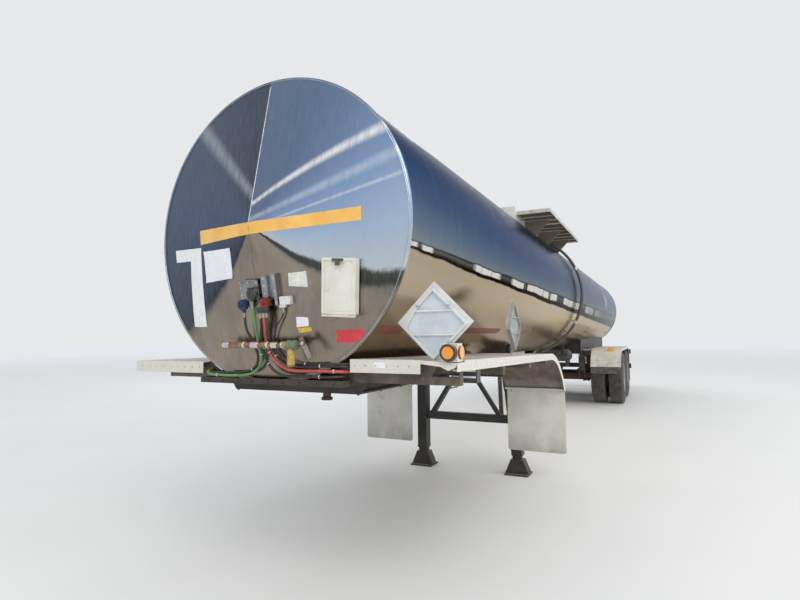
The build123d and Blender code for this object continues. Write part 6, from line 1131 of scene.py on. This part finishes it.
# ---------------- coupler and landing gear
bolts = Piece()
for side in SIDES:
    for n in range(14):
        x = 6.50 - 0.155 * n
        bolts.bolt((x, side * 0.480, 1.1685), (0, side, 0), 0.0085)
    for n in range(6):
        bolts.bolt((6.34 - 0.26 * n, side * 0.425, 1.0932), (0, 0, -1), 0.0075)
for n in range(9):
    bolts.bolt((6.587, -0.42 + 0.105 * n, 1.1690), AHEAD, 0.0080)
bolts.finish("coupler_bolts", CAST, "frame_steel")
wear = Piece()
wear.turned((KINGPIN_X, 0, 1.0945), (0, 0, -1), [
    (0.0, 0.0368), (0.0, 0.110), (0.006, 0.106), (0.006, 0.0368),
], 48, closed=True)
wear.finish("kingpin_wear_ring", CAST, "cast")
FEET_Y = (0.556, -0.480)
leg_bits = Piece()
for side, top_y in ((1, 0.456), (-1, -0.480)):
    for z in (1.13, 1.19, 1.25):
        for dx in (-0.034, 0.034):
            leg_bits.bolt((LEG_X + 0.0525, top_y + dx * 0.9 + (0.008 if side > 0 else 0.0), z), AHEAD, 0.0090)
for foot_y in FEET_Y:
    leg_bits.turned((LEG_X - 0.064, foot_y, 0.112), AHEAD, [
        (0.0, 0), (0.0, 0.016), (0.005, 0.018), (0.123, 0.018), (0.128, 0.016), (0.128, 0),
    ], 18)
    for dx, dy in ((-0.082, -0.095), (0.082, -0.095), (-0.082, 0.095), (0.082, 0.095)):
        leg_bits.bolt((LEG_X + dx, foot_y + dy, 0.0142), UP, 0.0095)
leg_bits.finish("leg_bolts", BLACK_STEEL, "cast")
leg_collars = Piece()
for foot_y in FEET_Y:
    for z0, z1, reach in ((0.192, 0.214, 0.0560), (0.176, 0.190, 0.0465)):
        leg_collars.box((LEG_X - reach, foot_y - reach, z0), (LEG_X + reach, foot_y + reach, z1))
leg_collars.finish("leg_collars", BLACK_STEEL, "frame_steel", edge=0.003)

# ---------------- top
lid_bits = Piece()
for n in range(6):
    angle = radians(30 + 60 * n)
    out = Vector((cos(angle), sin(angle), 0))
    across = Vector((-sin(angle), cos(angle), 0))
    foot = Vector((LID_X, 0, LID_Z)) + out * 0.287
    lid_bits.slab(foot - out * 0.0085, out * 0.0265, across * 0.018, UP * 0.012 + out * 0.0015,
                  (out * 0.023, across * 0.015))
    lid_bits.turned(foot + Vector((0, 0, 0.011)), UP, [
        (0, 0), (0, 0.016), (0.012, 0.015), (0.016, 0.010), (0.030, 0.009), (0.033, 0.006), (0.034, 0),
    ], 16)
    for way in (1, -1):
        wing = foot + across * way * 0.020 + UP * 0.020
        lid_bits.block(*[[wing + across * (a + lean) * way + out * b + UP * rise for a, b in outline]
                         for lean, rise, outline in (
                             (0.0, 0.0, ((-0.010, -0.003), (0.014, -0.002), (0.014, 0.002), (-0.010, 0.003))),
                             (0.004, 0.015, ((-0.010, -0.002), (0.014, -0.0015), (0.014, 0.0015),
                                             (-0.010, 0.002))))])
lid_bits.finish("lid_wing_nuts", NICKEL, "stainless", "manlid", edge=0.0012)
lid_ring = Piece()
lid_ring.turned((LID_X, 0, LID_Z), UP, [
    (0.0, 0.262), (0.0, 0.254), (0.002, 0.252), (0.004, 0.256), (0.003, 0.262),
], 72, closed=True)
lid_ring.finish("lid_weld_ring", STAINLESS, "stainless", "manlid")
cap_bits = Piece()
for x, y, radius, top in ((2.102, 0.0, 0.095, 2.929), (0.492, 0.09, 0.060, 2.934),
                          (0.492, -0.11, 0.075, 2.909)):
    for n in range(8):
        angle = 2 * pi * n / 8
        cap_bits.bolt((x + radius * 0.78 * cos(angle), y + radius * 0.78 * sin(angle), top - radius * 0.19),
                      (cos(angle) * 0.5, sin(angle) * 0.5, 1), 0.0060)
    cap_bits.turned((x, y, top - 0.001), UP, [(0, 0), (0, radius * 0.4), (0.008, radius * 0.34),
                                                     (0.010, radius * 0.12), (0.010, 0)], 24)
cap_bits.finish("top_fitting_caps", STAINLESS, "stainless")
tread = Piece()
for side in SIDES:
    for row in range(46):
        x = 2.480 - 0.051 * row
        low, high = sorted((side * 0.384, side * 0.776))
        tread.box((x - 0.002, low, 2.8640), (x + 0.002, high, 2.8930))
        for column in range(5):
            y = 0.413 + 0.080 * column + (0.020 if row % 2 else 0.0)
            tread.slab(Vector((x, side * y, 2.8935)), AHEAD * 0.0030, LEFT * side * 0.020, UP * 0.0087,
                       (AHEAD * 0.0014, LEFT * side * 0.018))
tread.finish("walkway_bars", TREAD, "aluminium", smooth=False)
dam_bits = Piece()
for side in SIDES:
    for n in range(24):
        x = 2.48 - 0.1 * n
        dam_bits.rivet((x, side * 0.378, 2.848), (0, side, 0), 0.0050)
for n in range(8):
    dam_bits.rivet((2.552, -0.32 + 0.0914 * n, 2.935), AHEAD, 0.0055)
dam_bits.finish("dam_rivets", NICKEL, "aluminium")


# ---------------- wheels and tyres
NOTCH_DEPTH = 0.0075


def tyre_piece(piece, centre, x, sign):
    """One tyre with bulged walls, four grooves and notched shoulders."""
    half = [
        (0.000, 0.5150), (0.018, 0.5150), (0.020, 0.5045), (0.030, 0.5045), (0.032, 0.5148), (0.060, 0.5142),
        (0.062, 0.5040), (0.072, 0.5040), (0.074, 0.5136), (0.092, 0.5130), (0.106, 0.5105), (0.116, 0.5020),
        (0.122, 0.4860), (0.129, 0.4680), (0.1300, 0.4660), (0.1285, 0.4640), (0.1345, 0.4400),
        (0.1385, 0.4150), (0.1395, 0.3900), (0.1375, 0.3620), (0.1385, 0.3600), (0.1370, 0.3580),
        (0.1320, 0.3320), (0.1240, 0.3100), (0.1210, 0.3080), (0.1190, 0.2990), (0.1130, 0.2865),
    ]
    profile = [(-a, r) for a, r in half[::-1]] + half[1:]
    notched = {index for index, (a, r) in enumerate(profile) if 0.090 < abs(a) < 0.118 and r > 0.50}
    steps = 216
    rings = []
    for index, (a, r) in enumerate(profile):
        ring = []
        for n in range(steps):
            depth = NOTCH_DEPTH if index in notched and n % 6 in (0, 1) else 0.0
            angle = 2 * pi * n / steps
            ring.append(piece.mesh.verts.new((x + (r - depth) * cos(angle), sign * (centre + a),
                                              WHEEL_Z + (r - depth) * sin(angle))))
        rings.append(ring)
    for first, second in zip(rings, rings[1:] + rings[:1]):
        for n in range(steps):
            m = (n + 1) % steps
            piece.mesh.faces.new((first[n], first[m], second[m], second[n]))


NUTS_R, HUB_R = 0.136, 0.091
for end, x in AXLES:
    for side, sign in (("left", 1), ("right", -1)):
        body = f"twin_{end}_{side}"
        tyres = Piece()
        for centre in (1.070, 0.740):
            tyre_piece(tyres, centre, x, sign)
        tyres = tyres.finish(f"treaded_tyres_{end}_{side}", TYRE, "tyre", body)
        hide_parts(f"tyres_{end}_{side}")
        nuts = Piece()
        for n in range(10):
            angle = 2 * pi * n / 10
            at = Vector((x + NUTS_R * cos(angle), sign * 0.925, WHEEL_Z + NUTS_R * sin(angle)))
            nuts.bolt(at, (0, sign, 0), 0.0155, 0.2 * n)
            nuts.turned(at, (0, sign, 0), [(0.010, 0), (0.010, 0.009), (0.026, 0.0085), (0.028, 0)], 10)
        for n in range(8):
            angle = 2 * pi * (n + 0.5) / 8
            nuts.bolt((x + HUB_R * cos(angle), sign * 0.998, WHEEL_Z + HUB_R * sin(angle)),
                      (0, sign, 0), 0.0085)
        nuts.turned((x, sign * 1.065, WHEEL_Z), (0, sign, 0), [
            (0.0, 0), (0.0, 0.060), (0.005, 0.056), (0.006, 0.026), (0.010, 0.022), (0.010, 0),
        ], 28)
        nuts.finish(f"wheel_nuts_{end}_{side}", NICKEL, "stainless", body)
        rims = Piece()
        for face, out in ((1.194, 1), (0.946, -1)):
            rims.turned((x, sign * face, WHEEL_Z), (0, sign * out, 0), [
                (-0.010, 0.2770), (-0.010, 0.2870), (-0.001, 0.2895), (0.003, 0.2880), (0.0035, 0.2835),
                (0.001, 0.2790),
            ], 96, closed=True)
        rims.finish(f"rim_edges_{end}_{side}", WHEEL, "aluminium", body)

# Spring clips and hanger bolts
spring_bits = Piece()
for end, x in AXLES:
    for side in SIDES:
        for dx in (-0.34, 0.34):
            z = 0.600 + 0.0640 * (abs(dx) / 0.6) ** 2
            y = side * 0.470
            spring_bits.box((x + dx - 0.015, y - 0.045, z - 0.008), (x + dx + 0.015, y + 0.045, z + 0.052))
            spring_bits.bolt((x + dx, side * 0.515, z + 0.024), (0, side, 0), 0.0080)
for x in (-2.253, -3.503, -4.753):
    for side in SIDES:
        for z in (0.600, 0.700, 0.860):
            spring_bits.bolt((x, side * 0.525, z), (0, side, 0), 0.0120)
            spring_bits.bolt((x, side * 0.415, z), (0, -side, 0), 0.0120)
spring_bits.finish("spring_clips", CAST, "cast")
FLANGE_R = 0.09525
flange_bolts = Piece()
for n in range(8):
    angle = 2 * pi * (n + 0.5) / 8
    flange_bolts.bolt((-6.484, FLANGE_R * cos(angle), DISCHARGE_Z + FLANGE_R * sin(angle)), AHEAD, 0.0085)
flange_bolts.finish("discharge_flange_nuts", NICKEL, "stainless")
bumper_tape = Piece()
for n in range(7):
    y = -1.10 + 0.325 * n
    bumper_tape.box((-6.7280, y, 0.522), (-6.7272, y + 0.25, 0.572))
bumper_tape.finish("bumper_tape", RED_SHEET, "frame_steel", smooth=False)
ladder_bits = Piece()
for x in (1.522, 1.122):
    for z in (0.600, 2.885):
        ladder_bits.nut_ring((x, LADDER_Y, z + (0.006 if z < 1 else -0.006)), UP, 0.0160, 0.0195, 0.012, 20)
    for z in (1.350, 2.350):
        ladder_bits.nut_ring((x, LADDER_Y, z), UP, 0.0165, 0.0215, 0.040, 20)
ladder_bits.finish("ladder_clamps", NICKEL, "stainless")
hose_bits = Piece()
for angle in (radians(24.0), radians(-28.0)):
    middle = Vector((DRAIN_X, DRAIN_R * cos(angle), AXIS_Z + DRAIN_R * sin(angle)))
    along = Vector((0, -sin(angle), cos(angle)))
    for shift in (-0.0215, 0.0215):
        hose_bits.nut_ring(middle + along * shift, along, 0.0198, 0.0228, 0.006, 24)
hose_bits.finish("drain_hose_bands", NICKEL, "stainless")


# ---------------- floor, air and light
def studio():
    floor = bpy.data.meshes.new("floor")
    size = 120.0
    floor.from_pydata([(a * size, b * size, 0) for a, b in SQUARE], [], [(0, 1, 2, 3)])
    s = Surface("floor_paint")
    far = s.reach(s.x, s.y)
    tone = s.blend(s.span(s.noise(0.8, 3, 0.5), 0.3, 0.7), (0.78, 0.78, 0.77), (0.80, 0.80, 0.79))
    tone = s.blend(s.span(far, 12.0, 45.0), tone, (0.97, 0.98, 0.99))
    floor.materials.append(s.done(tone, 0.85))
    into_scene("floor", floor)

    world = bpy.data.worlds.new("studio_air")
    bpy.context.scene.world = world
    world.use_nodes = True
    tree = world.node_tree
    tree.nodes.clear()
    output = tree.nodes.new("ShaderNodeOutputWorld")

    def air(tint, strength):
        node = tree.nodes.new("ShaderNodeBackground")
        node.inputs["Color"].default_value = (*tint, 1)
        node.inputs["Strength"].default_value = strength
        return node.outputs[0]

    seen = air((0.80, 0.81, 0.82), 1.0)
    unseen = air((0.94, 0.97, 1.0), 0.86)
    rays = tree.nodes.new("ShaderNodeLightPath")
    share = rays.outputs["Is Camera Ray"]
    for kind in ("Is Glossy Ray", "Is Transmission Ray"):
        either = tree.nodes.new("ShaderNodeMath")
        either.operation = "MAXIMUM"
        tree.links.new(share, either.inputs[0])
        tree.links.new(rays.outputs[kind], either.inputs[1])
        share = either.outputs[0]
    mix = tree.nodes.new("ShaderNodeMixShader")
    for socket, source in zip(mix.inputs, (share, unseen, seen)):
        tree.links.new(source, socket)
    tree.links.new(mix.outputs[0], output.inputs["Surface"])

    for name, at, aim, size, power, tint in (
        ("key_light", (13.0, 7.5, 10.0), (5.0, 0.3, 1.4), (7.0, 7.0), 620, (1.0, 0.97, 0.92)),
        ("side_light", (2.0, 13.0, 7.5), (0.0, 0.0, 1.6), (12.0, 5.0), 480, (1.0, 0.98, 0.95)),
        ("far_light", (-9.0, -9.0, 9.0), (-3.0, 0.0, 1.5), (8.0, 6.0), 330, (0.93, 0.96, 1.0)),
    ):
        lamp = bpy.data.lights.new(name, "AREA")
        lamp.shape = "RECTANGLE"
        lamp.size, lamp.size_y = size
        lamp.energy = power
        lamp.color = tint
        holder = into_scene(name, lamp)
        holder.location = at
        holder.rotation_euler = (Vector(aim) - Vector(at)).to_track_quat("-Z", "Y").to_euler()


studio()
bpy.context.scene.view_settings.view_transform = "Standard"

bpy.context.view_layer.update()
